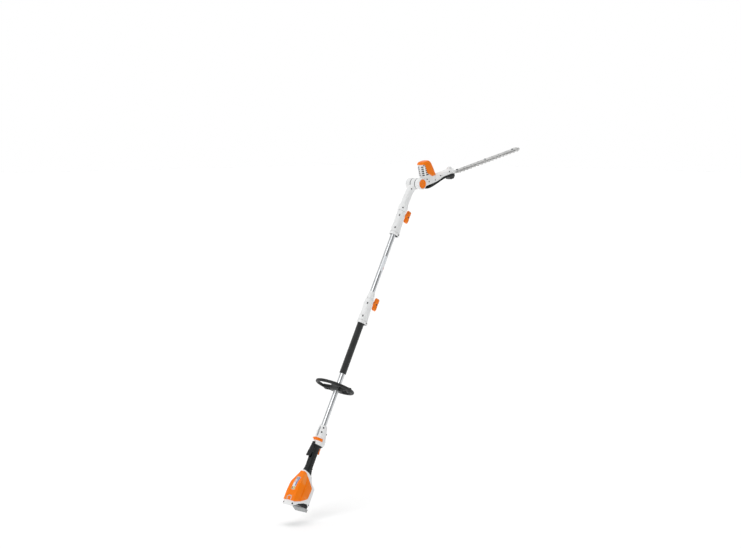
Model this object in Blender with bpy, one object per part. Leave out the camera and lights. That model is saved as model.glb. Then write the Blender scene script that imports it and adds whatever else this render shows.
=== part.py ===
"""Battery pole hedge trimmer: rear grip unit, two-section pole, and a cutter head on a hinge.

All sizes are millimetres in the tool's own frame: z runs up the shaft from the battery's end face,
x points to the trigger side and y lies along the head's hinge. The head is drawn in a frame of its
own at the hinge: x runs out along the blades, z is up from them. new_mesh turns millimetres into
metres. The tool leans as it is held in use, and the origin is the middle of the rear grip.
"""

import bmesh
import bpy
from math import cos, pi, radians, sin
from mathutils import Vector

MM = 0.001
GAP = 0.3           # air between pieces that touch
SPLIT = 0.15        # each half shell stops this far from the split plane
ROUND = 24          # segments round a turned piece

# driving dimensions
LEAN = radians(27.5)            # shaft from the vertical
GRIP_Z = 225.0                  # the origin: middle of the rear grip
TUBE_R, TUBE_WALL = 11.0, 1.2
SLEEVE_LOWER, SLEEVE_UPPER = 830.0, 1240.0      # lower ends of the two clamp sleeves
SLEEVE_LENGTH = 112.0
WING_ABOVE = 103.0              # wing screw above its sleeve's lower end
JOINT_ABOVE = 30.0              # tube ends meet this far above a sleeve's lower end
LOOP_Z, LOOP_X = 536.0, -15.0   # ring handle's plane and its centre's offset
LOOP_R, LOOP_RIM = 78.0, 6.7
HINGE_X, HINGE_Z = 23.0, 1494.0
HEAD_ANGLE = radians(49.3)      # blades from the shaft line
HINGE_R = 24.0                  # hinge knuckle and lugs
KNUCKLE, LUG_IN, LUG_OUT = 13.4, 13.9, 41.0     # half widths along the hinge
PIN_R = 5.0
BUTTON_R = 19.5
MOTOR_U, CRANK_U = 68.0, 90.0   # motor axis and crank axis along the head
GEAR_TEETH, PINION_TEETH, MODULE = 36, 8, 1.0
STROKE_HALF = 8.0               # blades run this far each way
TOOTH_PITCH, TOOTH_COUNT = 24.0, 17
TOOTH_START = 253.0             # middle of the first tooth
BLADE_HALF, SPINE_HALF, BLADE_THICK = 29.0, 11.0, 2.0
BLADE_TOP = -10.9
BAR_START, BAR_END, BAR_HALF, BAR_THICK = 208.0, 655.0, 12.5, 5.6
BOLT_U = (262.0, 448.0, 634.0)
BOLT_R = 3.0
BATTERY_X, BATTERY_Y, BATTERY_TOP = (-23.0, 45.5), 33.5, 100.0
CAP_TOP = 20.0
CAP_SIDE = ((18.0, 20.0), (20.0, 17.5), (43.0, 6.2), (46.5, 6.8), (47.2, 20.0))     # x, height
WALL = 2.4


# ---------------------------------------------------------------- materials

def linear(level):
    level /= 255.0
    return level / 12.92 if level <= 0.04045 else ((level + 0.055) / 1.055) ** 2.4


def make_material(name, colour, roughness, metallic=0.0):
    made = bpy.data.materials.new(name)
    made.use_nodes = True
    shader = made.node_tree.nodes["Principled BSDF"]
    rgb = [linear(level) for level in colour]
    shader.inputs["Base Color"].default_value = (*rgb, 1.0)
    shader.inputs["Roughness"].default_value = roughness
    shader.inputs["Metallic"].default_value = metallic
    made.diffuse_color = (*rgb, 1.0)
    return made


def make_materials():
    return {
        "white": make_material("white_plastic", (236, 237, 238), 0.42),
        "orange": make_material("orange_plastic", (243, 122, 31), 0.40),
        "black": make_material("black_plastic", (42, 44, 46), 0.50),
        "foam": make_material("foam", (36, 38, 40), 0.85),
        "cap": make_material("grey_plastic", (152, 154, 156), 0.50),
        "tube": make_material("anodised_tube", (214, 216, 219), 0.28, 1.0),
        "steel": make_material("steel", (176, 178, 182), 0.32, 1.0),
        "dark_steel": make_material("dark_steel", (74, 76, 80), 0.40, 1.0),
        "copper": make_material("copper", (184, 115, 70), 0.35, 1.0),
        "board": make_material("circuit_board", (28, 92, 54), 0.55),
    }


# ---------------------------------------------------------------- objects

DRAWN_FROM = {}     # pivot name: where it sits in the frame its pieces are drawn in


def pivot(name, parent=None, at=(0.0, 0.0, 0.0), tilt=0.0):
    """An empty on a joint's axis. Pieces under a tilted one are drawn in its own frame."""
    empty = bpy.data.objects.new(name, None)
    bpy.context.collection.objects.link(empty)
    place = Vector(at) * MM
    empty.parent = parent
    empty.location = place - (DRAWN_FROM[parent.name] if parent else Vector())
    empty.rotation_euler = (0.0, tilt, 0.0)
    DRAWN_FROM[name] = Vector() if tilt or parent is None else place
    return empty


def new_mesh(name, verts, faces, parent, finish=None):
    """A closed mesh from millimetre points. Without a finish it is a cutter."""
    mesh = bpy.data.meshes.new(name)
    mesh.from_pydata([Vector(point) * MM for point in verts], [], faces)
    shape = bmesh.new()
    shape.from_mesh(mesh)
    bmesh.ops.recalc_face_normals(shape, faces=shape.faces)
    shape.to_mesh(mesh)
    shape.free()
    mesh.shade_smooth()
    mesh.set_sharp_from_angle(angle=radians(35))
    made = bpy.data.objects.new(name, mesh)
    bpy.context.collection.objects.link(made)
    made.parent = parent
    made.location = -DRAWN_FROM[parent.name]
    if finish:
        mesh.materials.append(finish)
    else:
        made.hide_render = True
        made.display_type = "WIRE"
    return made


def combine(target, tool, operation):
    cut = target.modifiers.new(f"{operation.lower()} {tool.name}", "BOOLEAN")
    cut.operation = operation
    cut.solver = "EXACT"
    cut.object = tool
    return target


def cut_away(target, *tools):
    for tool in tools:
        combine(target, tool, "DIFFERENCE")
    return target


def add_on(target, *tools):
    for tool in tools:
        combine(target, tool, "UNION")
    return target


def weld(target):
    """Closes the hairline slivers that a chain of Booleans leaves."""
    merge = target.modifiers.new("weld", "WELD")
    merge.merge_threshold = 0.00003
    return target


# ---------------------------------------------------------------- shapes

# corners of a box counted low, low, low first and the last axis fastest
BOX_FACES = ((0, 1, 3, 2), (4, 6, 7, 5), (0, 4, 5, 1), (2, 3, 7, 6), (0, 2, 6, 4), (1, 5, 7, 3))


def loft(name, rings, parent, finish=None):
    """Rings of points joined one to the next, with both ends closed."""
    count = len(rings[0])
    verts = [point for ring in rings for point in ring]
    faces = [tuple(range(count)), tuple(range(len(verts) - count, len(verts)))]
    for low in range(0, len(verts) - count, count):
        for i in range(count):
            j = (i + 1) % count
            faces.append((low + i, low + j, low + count + j, low + count + i))
    return new_mesh(name, verts, faces, parent, finish)


def prism(name, outline, low, high, parent, finish=None, along="y"):
    """An outline pushed from low to high: along y it is (x, z), along z (x, y), along x (y, z)."""
    place = {
        "y": lambda a, b, t: (a, t, b),
        "z": lambda a, b, t: (a, b, t),
        "x": lambda a, b, t: (t, a, b),
    }[along]
    rings = [[place(a, b, t) for a, b in outline] for t in (low, high)]
    return loft(name, rings, parent, finish)


def box(name, low, high, parent, finish=None):
    outline = [(low[0], low[1]), (high[0], low[1]), (high[0], high[1]), (low[0], high[1])]
    return prism(name, outline, low[2], high[2], parent, finish, along="z")


def turned(name, profile, parent, finish=None, axis="z", centre=(0.0, 0.0, 0.0), closed=False,
           segments=ROUND):
    """A profile of (radius, height) turned about an axis. closed makes a ring from it."""
    place = {
        "z": lambda r, a, t: (r * cos(a), r * sin(a), t),
        "y": lambda r, a, t: (r * cos(a), t, r * sin(a)),
        "x": lambda r, a, t: (t, r * cos(a), r * sin(a)),
    }[axis]
    verts, faces, rows = [], [], []
    for radius, height in profile:
        steps = segments if radius > 0 else 1
        rows.append([len(verts) + i for i in range(steps)])
        for i in range(steps):
            point = place(radius, 2 * pi * i / segments, height)
            verts.append(tuple(point[k] + centre[k] for k in range(3)))
    if closed:
        rows.append(rows[0])
    for low, high in zip(rows, rows[1:]):
        for i in range(segments):
            j = (i + 1) % segments
            face = [low[i % len(low)], low[j % len(low)], high[j % len(high)], high[i % len(high)]]
            faces.append(tuple(dict.fromkeys(face)))
    return new_mesh(name, verts, faces, parent, finish)


def cylinder(name, radius, low, high, parent, finish=None, **where):
    return turned(name, [(0, low), (radius, low), (radius, high), (0, high)], parent, finish, **where)


def pipe(name, inner, outer, low, high, parent, finish=None, **where):
    profile = [(inner, low), (outer, low), (outer, high), (inner, high)]
    return turned(name, profile, parent, finish, closed=True, **where)


def rounded(x0, x1, y0, y1, radius, steps=3):
    """Outline of a rectangle with round corners."""
    outline = []
    corners = ((x1, y1, 0), (x0, y1, 1), (x0, y0, 2), (x1, y0, 3))
    for x, y, quarter in corners:
        cx = x - radius if quarter in (0, 3) else x + radius
        cy = y - radius if quarter in (0, 1) else y + radius
        for k in range(steps + 1):
            angle = (quarter + k / steps) * pi / 2
            outline.append((cx + radius * cos(angle), cy + radius * sin(angle)))
    return outline


# Half sections run from the split plane on the low side round to the split plane on the high side.

def oval_half(spec, inset, count=9, power=2.7):
    low, high, half = spec[0] + inset, spec[1] - inset, spec[2] - inset
    middle, reach = (low + high) / 2, (high - low) / 2
    points = []
    for k in range(count):
        angle = pi * (1 - k / (count - 1))
        along, across = cos(angle), abs(sin(angle))
        sign = 1 if along >= 0 else -1
        points.append((middle + sign * reach * abs(along) ** (2 / power),
                       half * across ** (2 / power)))
    return points


def faceted_half(spec, inset):
    """The rear housing: a flat back, slanted shoulders, flat sides and a rounded front."""
    back, back_half, fold, half, front = spec
    back, front, half = back + inset, front - inset, half - inset
    shoulder = back_half - 0.8 * inset
    corner = min(9.0, half / 3)
    return [(back, 0), (back, shoulder - 5), (back + 2.5, shoulder), (fold, half),
            (front - corner, half), (front - 0.3 * corner, half - 0.3 * corner),
            (front, half - corner), (front, 0)]


def stand(a, b, t, along):
    return (a, b, t) if along == "z" else (t, b, a)


def half_ring(section, spec, inset, side):
    return [(a, side * max(b, SPLIT)) for a, b in section(spec, inset)]


def shell_half(name, section, stations, side, parent, finish, wall=WALL, along="z"):
    """Half of a casing, open at both ends and along the split plane."""
    rings = []
    for station in stations:
        t, spec = station[0], station[1:]
        outer = half_ring(section, spec, 0.0, side)
        inner = half_ring(section, spec, wall, side)
        rings.append([stand(a, b, t, along) for a, b in outer + inner[::-1]])
    return loft(name, rings, parent, finish)


def solid_whole(name, section, stations, parent, finish=None, inset=0.0, along="z", ends=False):
    """A casing's outline made solid. Without its end points it is flat across the split plane."""
    rings = []
    for station in stations:
        half = section(station[1:], inset)
        middle = half[1:-1]
        ring = (half if ends else middle) + [(a, -b) for a, b in reversed(middle)]
        rings.append([stand(a, b, station[0], along) for a, b in ring])
    return loft(name, rings, parent, finish)


SIDES = (("left", -1), ("right", 1))

# ---------------------------------------------------------------- rear unit

# height, back, back half width, fold, half width, front
HOUSING = (
    (1.0, -41.0, 31.0, -13.0, 38.0, 49.0),
    (60.0, -41.0, 31.0, -13.0, 39.0, 49.0),
    (84.0, -40.0, 29.8, -12.2, 38.8, 49.0),
    (106.0, -38.0, 28.0, -11.0, 38.0, 48.5),
    (121.0, -33.0, 24.0, -9.0, 34.0, 33.0),
    (136.0, -28.0, 19.0, -7.0, 29.0, 25.0),
    (152.0, -22.5, 14.0, -5.0, 23.0, 22.5),
    (176.0, -17.0, 11.0, -4.0, 16.5, 19.5),
)
# height, low x, high x, half width
GRIP = (
    (140.0, -27.0, 24.5, 24.0),
    (152.0, -22.5, 22.0, 21.5),
    (170.0, -16.5, 19.5, 16.5),
    (190.0, -13.0, 17.0, 14.0),
    (232.0, -14.0, 17.0, 14.0),
    (266.0, -14.5, 18.0, 14.5),
    (274.0, -15.0, 21.0, 15.0),
    (282.6, -16.0, 32.0, 15.5),
)
CONTROL = (
    (283.0, -17.0, 33.0, 15.5),
    (292.0, -18.0, 37.0, 17.0),
    (306.0, -18.0, 35.0, 17.0),
    (332.0, -18.0, 27.0, 17.0),
    (352.0, -17.5, 21.0, 15.5),
    (368.0, -14.6, 15.0, 13.8),
)
BAY_EDGE = ((-70.0, 5.0), (-41.0, 7.0), (-28.0, 16.0), (-15.0, 26.5), (6.0, 35.0), (27.0, 38.5),
            (38.0, 31.0), (70.0, 26.0), (70.0, -30.0), (-70.0, -30.0))
NECK_LOW, NECK_HIGH = (-40.0, 178.0), (40.0, 138.0)    # where housing meets grip, back to front


def rear_housing(tool, mats):
    bay_edge = prism("cut_bay_edge", BAY_EDGE, -60, 60, tool)
    above = [NECK_LOW, NECK_HIGH, (40.0, 200.0), (-40.0, 200.0)]
    neck = prism("cut_above_neck", above, -60, 60, tool)
    window = box("cut_latch_window", (-60, -10.5, 26), (-30, 10.5, 47), tool)
    for side_name, side in SIDES:
        half = shell_half(f"rear_housing_{side_name}", faceted_half, HOUSING, side, tool,
                          mats["white"])
        cut_away(half, bay_edge, neck, window)


def rear_cover(tool, mats):
    """The orange skin over the housing's back and sides, notched for the latch."""
    cover = solid_whole("rear_cover", faceted_half, HOUSING, tool, mats["orange"], inset=-2.6)
    inside = solid_whole("cut_cover_inside", faceted_half, HOUSING, tool, inset=-1.0)
    edge = ((-70, 28), (-38, 28), (-13, 38), (19, 58), (23, 104), (-4, 136), (-17, 158),
            (-24, 161), (-70, 161))
    keep = prism("keep_cover_edge", edge, -60, 60, tool)
    notch = prism("cut_cover_notch", rounded(-12.5, 12.5, 10, 49, 8), -60, -25, tool, along="x")
    cut_away(combine(cut_away(cover, inside), keep, "INTERSECT"), notch)


def battery_latch(tool, mats):
    """A tab in the cover's notch. Pressing its lower end frees the battery."""
    hinge = pivot("battery_latch_pivot", tool, (-42.0, 0, 46.0))
    prism("battery_latch", rounded(-9, 9, 29, 45.8, 5.5), -43.8, -41.0, hinge, mats["orange"],
          along="x")


def battery(tool, mats):
    """A black case, open under its slanted grey end cap, round the cell pack."""
    slide = pivot("battery_slide", tool, (10.0, 0, 50.0))
    x0, x1 = BATTERY_X
    half = BATTERY_Y
    case = prism("battery_case", rounded(x0, x1, -half, half, 9), CAP_TOP + GAP, BATTERY_TOP, slide,
                 mats["black"], along="z")
    cavity = prism("cut_battery_case", rounded(x0 + 2, x1 - 2, 2 - half, half - 2, 7), CAP_TOP + 3,
                   BATTERY_TOP - 3, slide, along="z")
    mouth = box("cut_battery_mouth", (24, -22, 10), (41, 22, 50), slide)
    cut_away(case, cavity, mouth)
    prism("battery_end_cap", CAP_SIDE, -half - 0.6, half + 0.6, slide, mats["cap"])
    prism("battery_cells", rounded(x0 + 3, x1 - 3, 3 - half, half - 3, 7), CAP_TOP + 4, 92, slide,
          mats["cap"], along="z")


def electronics(tool, mats):
    box("battery_terminal_block", (-16, -24, 100.6), (20, 24, 110), tool, mats["black"])
    box("controller_board", (-20, -22, 114), (16, 22, 116.4), tool, mats["board"])
    box("trigger_switch", (-9, -5, 250), (7, 5, 268), tool, mats["black"])


def grip(tool, mats):
    low, high = NECK_LOW, NECK_HIGH
    below = [(low[0], low[1] + GAP), (high[0], high[1] + GAP), (60.0, 100.0), (-60.0, 100.0)]
    neck = prism("cut_below_neck", below, -60, 60, tool)
    trigger_slot = box("cut_trigger_slot", (10, -6.5, 246), (40, 6.5, 279), tool)
    lever_slot = box("cut_lever_slot", (-40, -9, 224), (-8, 9, 290), tool)
    for side_name, side in SIDES:
        half = shell_half(f"grip_{side_name}", oval_half, GRIP, side, tool, mats["black"])
        cut_away(half, neck, trigger_slot, lever_slot)


def trigger_and_lever(tool, mats):
    pull = pivot("trigger_pivot", tool, (16.0, 0, 275.0))
    outline = [(11, 278), (22, 278), (26, 271), (25, 262), (28.5, 250), (24, 248.5), (16, 256),
               (11, 262)]
    prism("trigger", outline, -5.8, 5.8, pull, mats["orange"])
    squeeze = pivot("ergo_lever_pivot", tool, (-16.0, 0, 281.0))
    outline = [(-18.6, 292), (-20.6, 292), (-21.5, 281), (-30.5, 229), (-27.5, 226.5),
               (-20.5, 228), (-17.5, 240), (-12.5, 281), (-18.4, 282.2)]
    prism("ergo_lever", outline, -7.6, 7.6, squeeze, mats["black"])


def control_housing(tool, mats):
    lever_way = box("cut_lever_way", (-40, -9, 280), (-14, 9, 285), tool)
    for side_name, side in SIDES:
        half = shell_half(f"control_housing_{side_name}", oval_half, CONTROL, side, tool,
                          mats["white"])
        cut_away(half, lever_way)
    slide = pivot("unlocking_slider_path", tool, (-18.0, 0, 306.0))
    band = ((300.0, -18.0, 37.0, 17.0), (312.0, -18.0, 37.0, 17.0))
    slider = solid_whole("unlocking_slider", oval_half, band, slide, mats["orange"], inset=-2.6,
                         ends=True)
    inside = solid_whole("cut_slider_inside", oval_half,
                         ((290.0, -18.0, 37.0, 17.0), (322.0, -18.0, 37.0, 17.0)), slide,
                         inset=-1.0, ends=True)
    front = box("cut_slider_front", (8, -40, 280), (60, 40, 330), slide)
    tab = prism("add_slider_tab", rounded(-30, -15, -8, 8, 4), 303, 308, slide, along="z")
    cut_away(add_on(slider, tab), inside, front)


# ---------------------------------------------------------------- pole

def tube(name, low, high, parent, finish):
    pipe(name, TUBE_R - TUBE_WALL, TUBE_R, low, high, parent, finish)


def loop_handle(tool, mats):
    """A ring round the pole on a two-part clamp."""
    slide = pivot("loop_handle_path", tool, (0, 0, LOOP_Z))
    rim = [(LOOP_R + LOOP_RIM * cos(pi * k / 4), LOOP_Z + LOOP_RIM * sin(pi * k / 4))
           for k in range(8)]
    ring = turned("loop_handle", rim, slide, mats["black"], centre=(LOOP_X, 0, 0), closed=True,
                  segments=40)
    spoke = prism("add_loop_spoke", [(-13, LOOP_Z - 7), (8, LOOP_Z - 12), (8, LOOP_Z + 12),
                                     (-13, LOOP_Z + 7)], -74, 74, slide)
    hub = prism("add_loop_hub", [(-17, LOOP_Z - 13), (-0.2, LOOP_Z - 13), (-0.2, LOOP_Z + 13),
                                 (-17, LOOP_Z + 13)], -24, 24, slide)
    bore = cylinder("cut_loop_bore", TUBE_R + GAP, LOOP_Z - 30, LOOP_Z + 30, slide)
    back = box("cut_loop_back", (-0.2, -25.5, LOOP_Z - 20), (30, 25.5, LOOP_Z + 20), slide)
    screw_ways = [cylinder(f"cut_loop_screw_{k}", 2.6, -30, 30, slide, axis="x",
                           centre=(0, y, LOOP_Z), segments=12) for k, y in enumerate((-18, 18))]
    cut_away(add_on(ring, spoke, hub), bore, back, *screw_ways)
    clamp_outline = rounded(0.2, 16, -24, 24, 5)
    clamp = prism("loop_clamp", clamp_outline, LOOP_Z - 12.5, LOOP_Z + 12.5, slide,
                  mats["black"], along="z")
    cut_away(clamp, bore, *screw_ways)
    for number, y in enumerate((-18, 18), start=1):
        profile = [(0, -14), (2.3, -14), (2.3, 16.3), (4.5, 16.3), (4.5, 20), (0, 20)]
        turned(f"loop_clamp_screw_{number}", profile, slide, mats["dark_steel"], axis="x",
               centre=(0, y, LOOP_Z), segments=12)


def sleeve(prefix, low, parent, mats):
    """Clamp sleeve in two halves, wider at its lower end, with a way for the wing screw."""
    top = low + SLEEVE_LENGTH
    stations = ((low, -19.0, 29.0, 18.0), (low + 12, -19.0, 29.0, 18.0),
                (low + 14, -17.0, 26.5, 16.5), (low + 60, -17.0, 22.0, 16.0),
                (top - 8, -17.0, 18.5, 16.0), (top, -15.5, 17.0, 14.8))
    way = cylinder(f"cut_{prefix}_screw_way", 4.6, 9, 40, parent, axis="x",
                   centre=(0, 0, low + WING_ABOVE), segments=16)
    for side_name, side in SIDES:
        half = shell_half(f"{prefix}_sleeve_{side_name}", oval_half, stations, side, parent,
                          mats["white"], wall=3.2)
        cut_away(half, way)


def wing_screw(prefix, low, parent, mats):
    height = low + WING_ABOVE
    turn = pivot(f"{prefix}_wing_screw_pivot", parent, (0, 0, height))
    shank = turned(f"{prefix}_wing_screw", [(0, 22), (7.5, 22), (7.5, 36), (0, 36)], turn,
                   mats["orange"], axis="x", centre=(0, 0, height))
    wings = prism(f"add_{prefix}_wings", rounded(-8, 8, height - 28, height + 28, 7.5), 34, 50,
                  turn, along="x")
    stud = cylinder(f"add_{prefix}_stud", 3.9, TUBE_R + GAP, 30, turn, axis="x",
                    centre=(0, 0, height), segments=12)
    add_on(shank, wings, stud)


def coupling(prefix, meet, below, above, mats):
    """Plug and socket where two tubes meet: the socket below, the plug above."""
    inner = TUBE_R - TUBE_WALL - GAP
    pipe(f"{prefix}_socket", 5.0, inner, meet - 34, meet - 1.2, below, mats["black"])
    profile = [(0, meet - 24), (4.6, meet - 24), (4.6, meet - 0.8), (inner, meet - 0.8),
               (inner, meet + 18), (0, meet + 18)]
    turned(f"{prefix}_plug", profile, above, mats["black"], segments=16)


def cable(name, low, high, parent, mats):
    cylinder(name, 2.6, low, high, parent, mats["black"], segments=8)


def lower_pole(tool, mats):
    meet = SLEEVE_LOWER + JOINT_ABOVE
    tube("lower_tube", 300, meet - 0.4, tool, mats["tube"])
    pipe("foam_grip", TUBE_R + GAP, 14.3, 601, SLEEVE_LOWER - GAP, tool, mats["foam"])
    sleeve("lower", SLEEVE_LOWER, tool, mats)
    wing_screw("lower", SLEEVE_LOWER, tool, mats)
    cable("lower_cable", 310, meet - 36, tool, mats)


def middle_pole(middle, tool, mats):
    meet_low, meet_high = SLEEVE_LOWER + JOINT_ABOVE, SLEEVE_UPPER + JOINT_ABOVE
    tube("middle_tube", meet_low, meet_high - 0.4, middle, mats["tube"])
    coupling("lower", meet_low, tool, middle, mats)
    base = SLEEVE_LOWER + SLEEVE_LENGTH + GAP
    profile = [(TUBE_R + GAP, base), (16.5, base), (16.5, base + 10), (12.6, base + 32),
               (TUBE_R + GAP, base + 32)]
    turned("middle_collar", profile, middle, mats["white"], closed=True)
    sleeve("upper", SLEEVE_UPPER, middle, mats)
    wing_screw("upper", SLEEVE_UPPER, middle, mats)
    cable("middle_cable", meet_low + 20, meet_high - 36, middle, mats)


# height, low x, high x, half width
ARM = (
    (1383.0, -16.0, 16.0, 15.0),
    (1430.0, -14.5, 17.5, 15.0),
    (1452.0, -12.5, 21.0, 15.0),
    (1466.0, -9.0, 27.0, 13.2),
    (1480.0, -0.5, 34.0, 13.2),
)


def arm(arm_body, middle, mats):
    meet = SLEEVE_UPPER + JOINT_ABOVE
    tube("arm_tube", meet, 1400, arm_body, mats["tube"])
    coupling("upper", meet, middle, arm_body, mats)
    base = SLEEVE_UPPER + SLEEVE_LENGTH + GAP
    profile = [(TUBE_R + GAP, base), (19.5, base), (21.0, base + 9), (20.0, base + 24),
               (17.0, 1382.7), (TUBE_R + GAP, 1382.7)]
    turned("arm_collar", profile, arm_body, mats["white"], closed=True)
    pin_way = cylinder("cut_pin_way", PIN_R + GAP, -60, 60, arm_body, axis="y",
                       centre=(HINGE_X, 0, HINGE_Z), segments=16)
    for side_name, side in SIDES:
        half = shell_half(f"arm_{side_name}", oval_half, ARM, side, arm_body, mats["white"])
        low, high = sorted((side * SPLIT, side * KNUCKLE))
        knuckle = cylinder(f"add_knuckle_{side_name}", HINGE_R, low, high, arm_body, axis="y",
                           centre=(HINGE_X, 0, HINGE_Z), segments=32)
        cut_away(add_on(half, knuckle), pin_way)


# ---------------------------------------------------------------- head

# out along the head, low n, high n, half width
GEARBOX = (
    (6.0, -22.0, 21.0, 40.6),
    (24.0, -22.5, 19.0, 38.0),
    (50.0, -22.5, 13.0, 30.0),
    (74.0, -22.5, 11.5, 27.0),
    (100.0, -22.0, 11.5, 25.5),
    (126.0, -18.5, 12.0, 24.0),
    (162.0, -10.4, 12.5, 22.5),
    (227.0, -10.4, 13.0, 19.5),
)
# up the head, low u, high u, half width
TOWER = (
    (1.0, 41.0, 119.0, 23.6),
    (13.0, 40.0, 112.0, 23.6),
    (58.0, 39.0, 98.0, 23.6),
    (72.0, 40.0, 92.0, 22.5),
    (80.5, 45.0, 85.0, 19.0),
)
HOOD = TOWER[:4] + ((83.5, 46.0, 84.0, 18.0),)
HUMP = ((8.0, 202.0, 226.0, 11.5), (16.0, 203.0, 226.0, 11.0), (22.0, 207.0, 222.0, 8.0))
# out along the head, low n, high n, half width
UNDER_COVER = (
    (27.0, -28.5, -23.2, 22.0),
    (50.0, -34.5, -22.9, 28.5),
    (62.0, -34.5, -22.9, 27.0),
    (84.0, -31.5, -22.8, 25.5),
    (100.0, -28.0, -22.4, 24.5),
    (129.0, -22.6, -18.4, 22.5),
    (162.0, -19.0, -10.9, 21.5),
    (177.5, -18.6, -10.9, 20.5),
)


# up the head, low u, high u, half width
FOOT = ((-33.0, 202.0, 221.0, 14.5), (-21.0, 190.0, 226.0, 18.5), (-17.5, 172.0, 225.5, 19.0),
        (-11.2, 172.0, 224.0, 19.0))


def head_housing(head, mats):
    inside = solid_whole("cut_gearbox_inside", oval_half,
                         ((28.0,) + GEARBOX[1][1:],) + GEARBOX[2:-1] + ((260.0,) + GEARBOX[-1][1:],),
                         head, inset=WALL, along="x")
    tower_inside = solid_whole("cut_tower_inside", oval_half,
                               TOWER[:-1] + ((90.0,) + TOWER[-1][1:],), head, inset=WALL)
    reach = HINGE_R + 0.8
    fork = [(reach * cos(pi * k / 16), reach * sin(pi * k / 16)) for k in range(-8, 9)]
    fork_way = prism("cut_fork_way", fork + [(-60, reach), (-60, -reach)], -LUG_IN - 0.5, LUG_IN + 0.5,
                     head)
    blade_way = box("cut_blade_way", (112, -SPINE_HALF - 3, -40), (270, SPINE_HALF + 3, -4.6), head)
    verts, faces = [], []
    for row in range(5):
        for side in (-1, 1):
            low = 24.0 + 9.0 * row
            first = len(verts)
            verts += [(u, side * y, n) for u in (30, 44) for y in (6.5, 16) for n in (low, low + 4.5)]
            faces += [[first + k for k in face] for face in BOX_FACES]
    vents = new_mesh("cut_vents", verts, faces, head)
    tower = solid_whole("add_tower", oval_half, TOWER, head)
    hump = solid_whole("add_hump", oval_half, HUMP, head)
    recess = LUG_OUT - 10.0
    for side_name, side in SIDES:
        half = solid_whole(f"head_housing_{side_name}", oval_half, GEARBOX, head, mats["white"],
                           along="x")
        profile = [(BUTTON_R + 0.6, side * LUG_OUT), (HINGE_R, side * LUG_OUT),
                   (HINGE_R, side * LUG_IN), (PIN_R + GAP, side * LUG_IN),
                   (PIN_R + GAP, side * recess), (BUTTON_R + 0.6, side * recess)]
        lug = turned(f"add_lug_{side_name}", profile, head, axis="y", closed=True, segments=32)
        room = cylinder(f"cut_lug_room_{side_name}", HINGE_R - 1.0,
                        *sorted((side * (LUG_IN - 1), side * 60)), head, axis="y", segments=32)
        far, near = sorted((-side * 80, side * SPLIT))
        other = box(f"cut_other_{side_name}", (-60, far, -60), (300, near, 120), head)
        add_on(half, tower, hump)
        cut_away(half, inside, tower_inside, fork_way, room)
        add_on(half, lug)
        cut_away(half, blade_way, vents, other)
        weld(half)


def motor_hood(head, mats):
    hood = solid_whole("motor_hood", oval_half, HOOD, head, mats["orange"], inset=-2.2)
    inside = solid_whole("cut_hood_inside", oval_half,
                         TOWER[:-1] + ((81.5,) + TOWER[-1][1:],), head, inset=-2 * GAP)
    edge = ((30, 73), (49, 73), (55.5, 33), (80, 13.6), (135, 13.6), (135, 100), (30, 100))
    keep = prism("keep_hood_edge", edge, -60, 60, head)
    combine(cut_away(hood, inside), keep, "INTERSECT")


def under_cover(head, mats):
    cover = solid_whole("under_cover", oval_half, UNDER_COVER, head, mats["black"], along="x")
    trough = [(40, -24), (62, -32), (84, -29), (129, -20.4), (162, -16.9), (190, -16.9), (190, 0),
              (40, 0)]
    inside = prism("cut_under_cover", trough, -SPINE_HALF - 4, SPINE_HALF + 4, head)
    foot = loft("add_support_foot", [[(a, -half, n), (b, -half, n), (b, half, n), (a, half, n)]
                                     for n, a, b, half in FOOT], head)
    way = box("cut_foot_way", (160, -SPINE_HALF - 4, -16.9), (230, SPINE_HALF + 4, 0), head)
    cut_away(add_on(cover, foot), inside, way)


def gear_outline(teeth, phase):
    """Teeth as flat-topped wedges a little short of full height, so meshed gears keep clear."""
    radius = teeth * MODULE / 2
    step = 2 * pi / teeth
    outline = []
    for k in range(teeth):
        middle = phase + k * step
        for part, reach in ((-0.27, -1.1), (-0.12, 0.7), (0.12, 0.7), (0.27, -1.1)):
            angle = middle + part * step
            outline.append(((radius + reach * MODULE) * cos(angle),
                            (radius + reach * MODULE) * sin(angle)))
    return outline


def drive(head, mats):
    """Motor, pinion, and the crank gear whose eccentric drives the blades."""
    motor = pivot("motor_axis", head, (MOTOR_U, 0, 30))
    at = (MOTOR_U, 0, 0)
    pipe("motor_can", 17.0, 20.0, 22, 60, head, mats["dark_steel"], centre=at)
    turned("motor_rotor", [(0, -1.5), (2.2, -1.5), (2.2, 24), (15.8, 24), (15.8, 57), (2.2, 57),
                           (2.2, 70), (0, 70)], motor, mats["copper"], centre=at)
    turned("motor_fan", [(2.5, 62), (16, 62), (16, 63.2), (6, 63.2), (6, 68), (2.5, 68)], motor,
           mats["black"], centre=at, closed=True)
    pinion_outline = [(MOTOR_U + x, y) for x, y in gear_outline(PINION_TEETH, 0.0)]
    pinion = prism("pinion", pinion_outline, -1.5, 5.5, motor, mats["steel"], along="z")
    cut_away(pinion, cylinder("cut_pinion_bore", 2.5, -5, 12, motor, centre=at, segments=12))
    crank = pivot("crank_axis", head, (CRANK_U, 0, 0))
    outline = [(CRANK_U + x, y) for x, y in gear_outline(GEAR_TEETH, pi / GEAR_TEETH)]
    gear = prism("crank_gear", outline, -1.0, 5.0, crank, mats["steel"], along="z")
    eccentric = cylinder("add_eccentric", 9.0, BLADE_TOP + 0.6, 3.0, crank,
                         centre=(CRANK_U, STROKE_HALF, 0))
    add_on(gear, eccentric)


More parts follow.
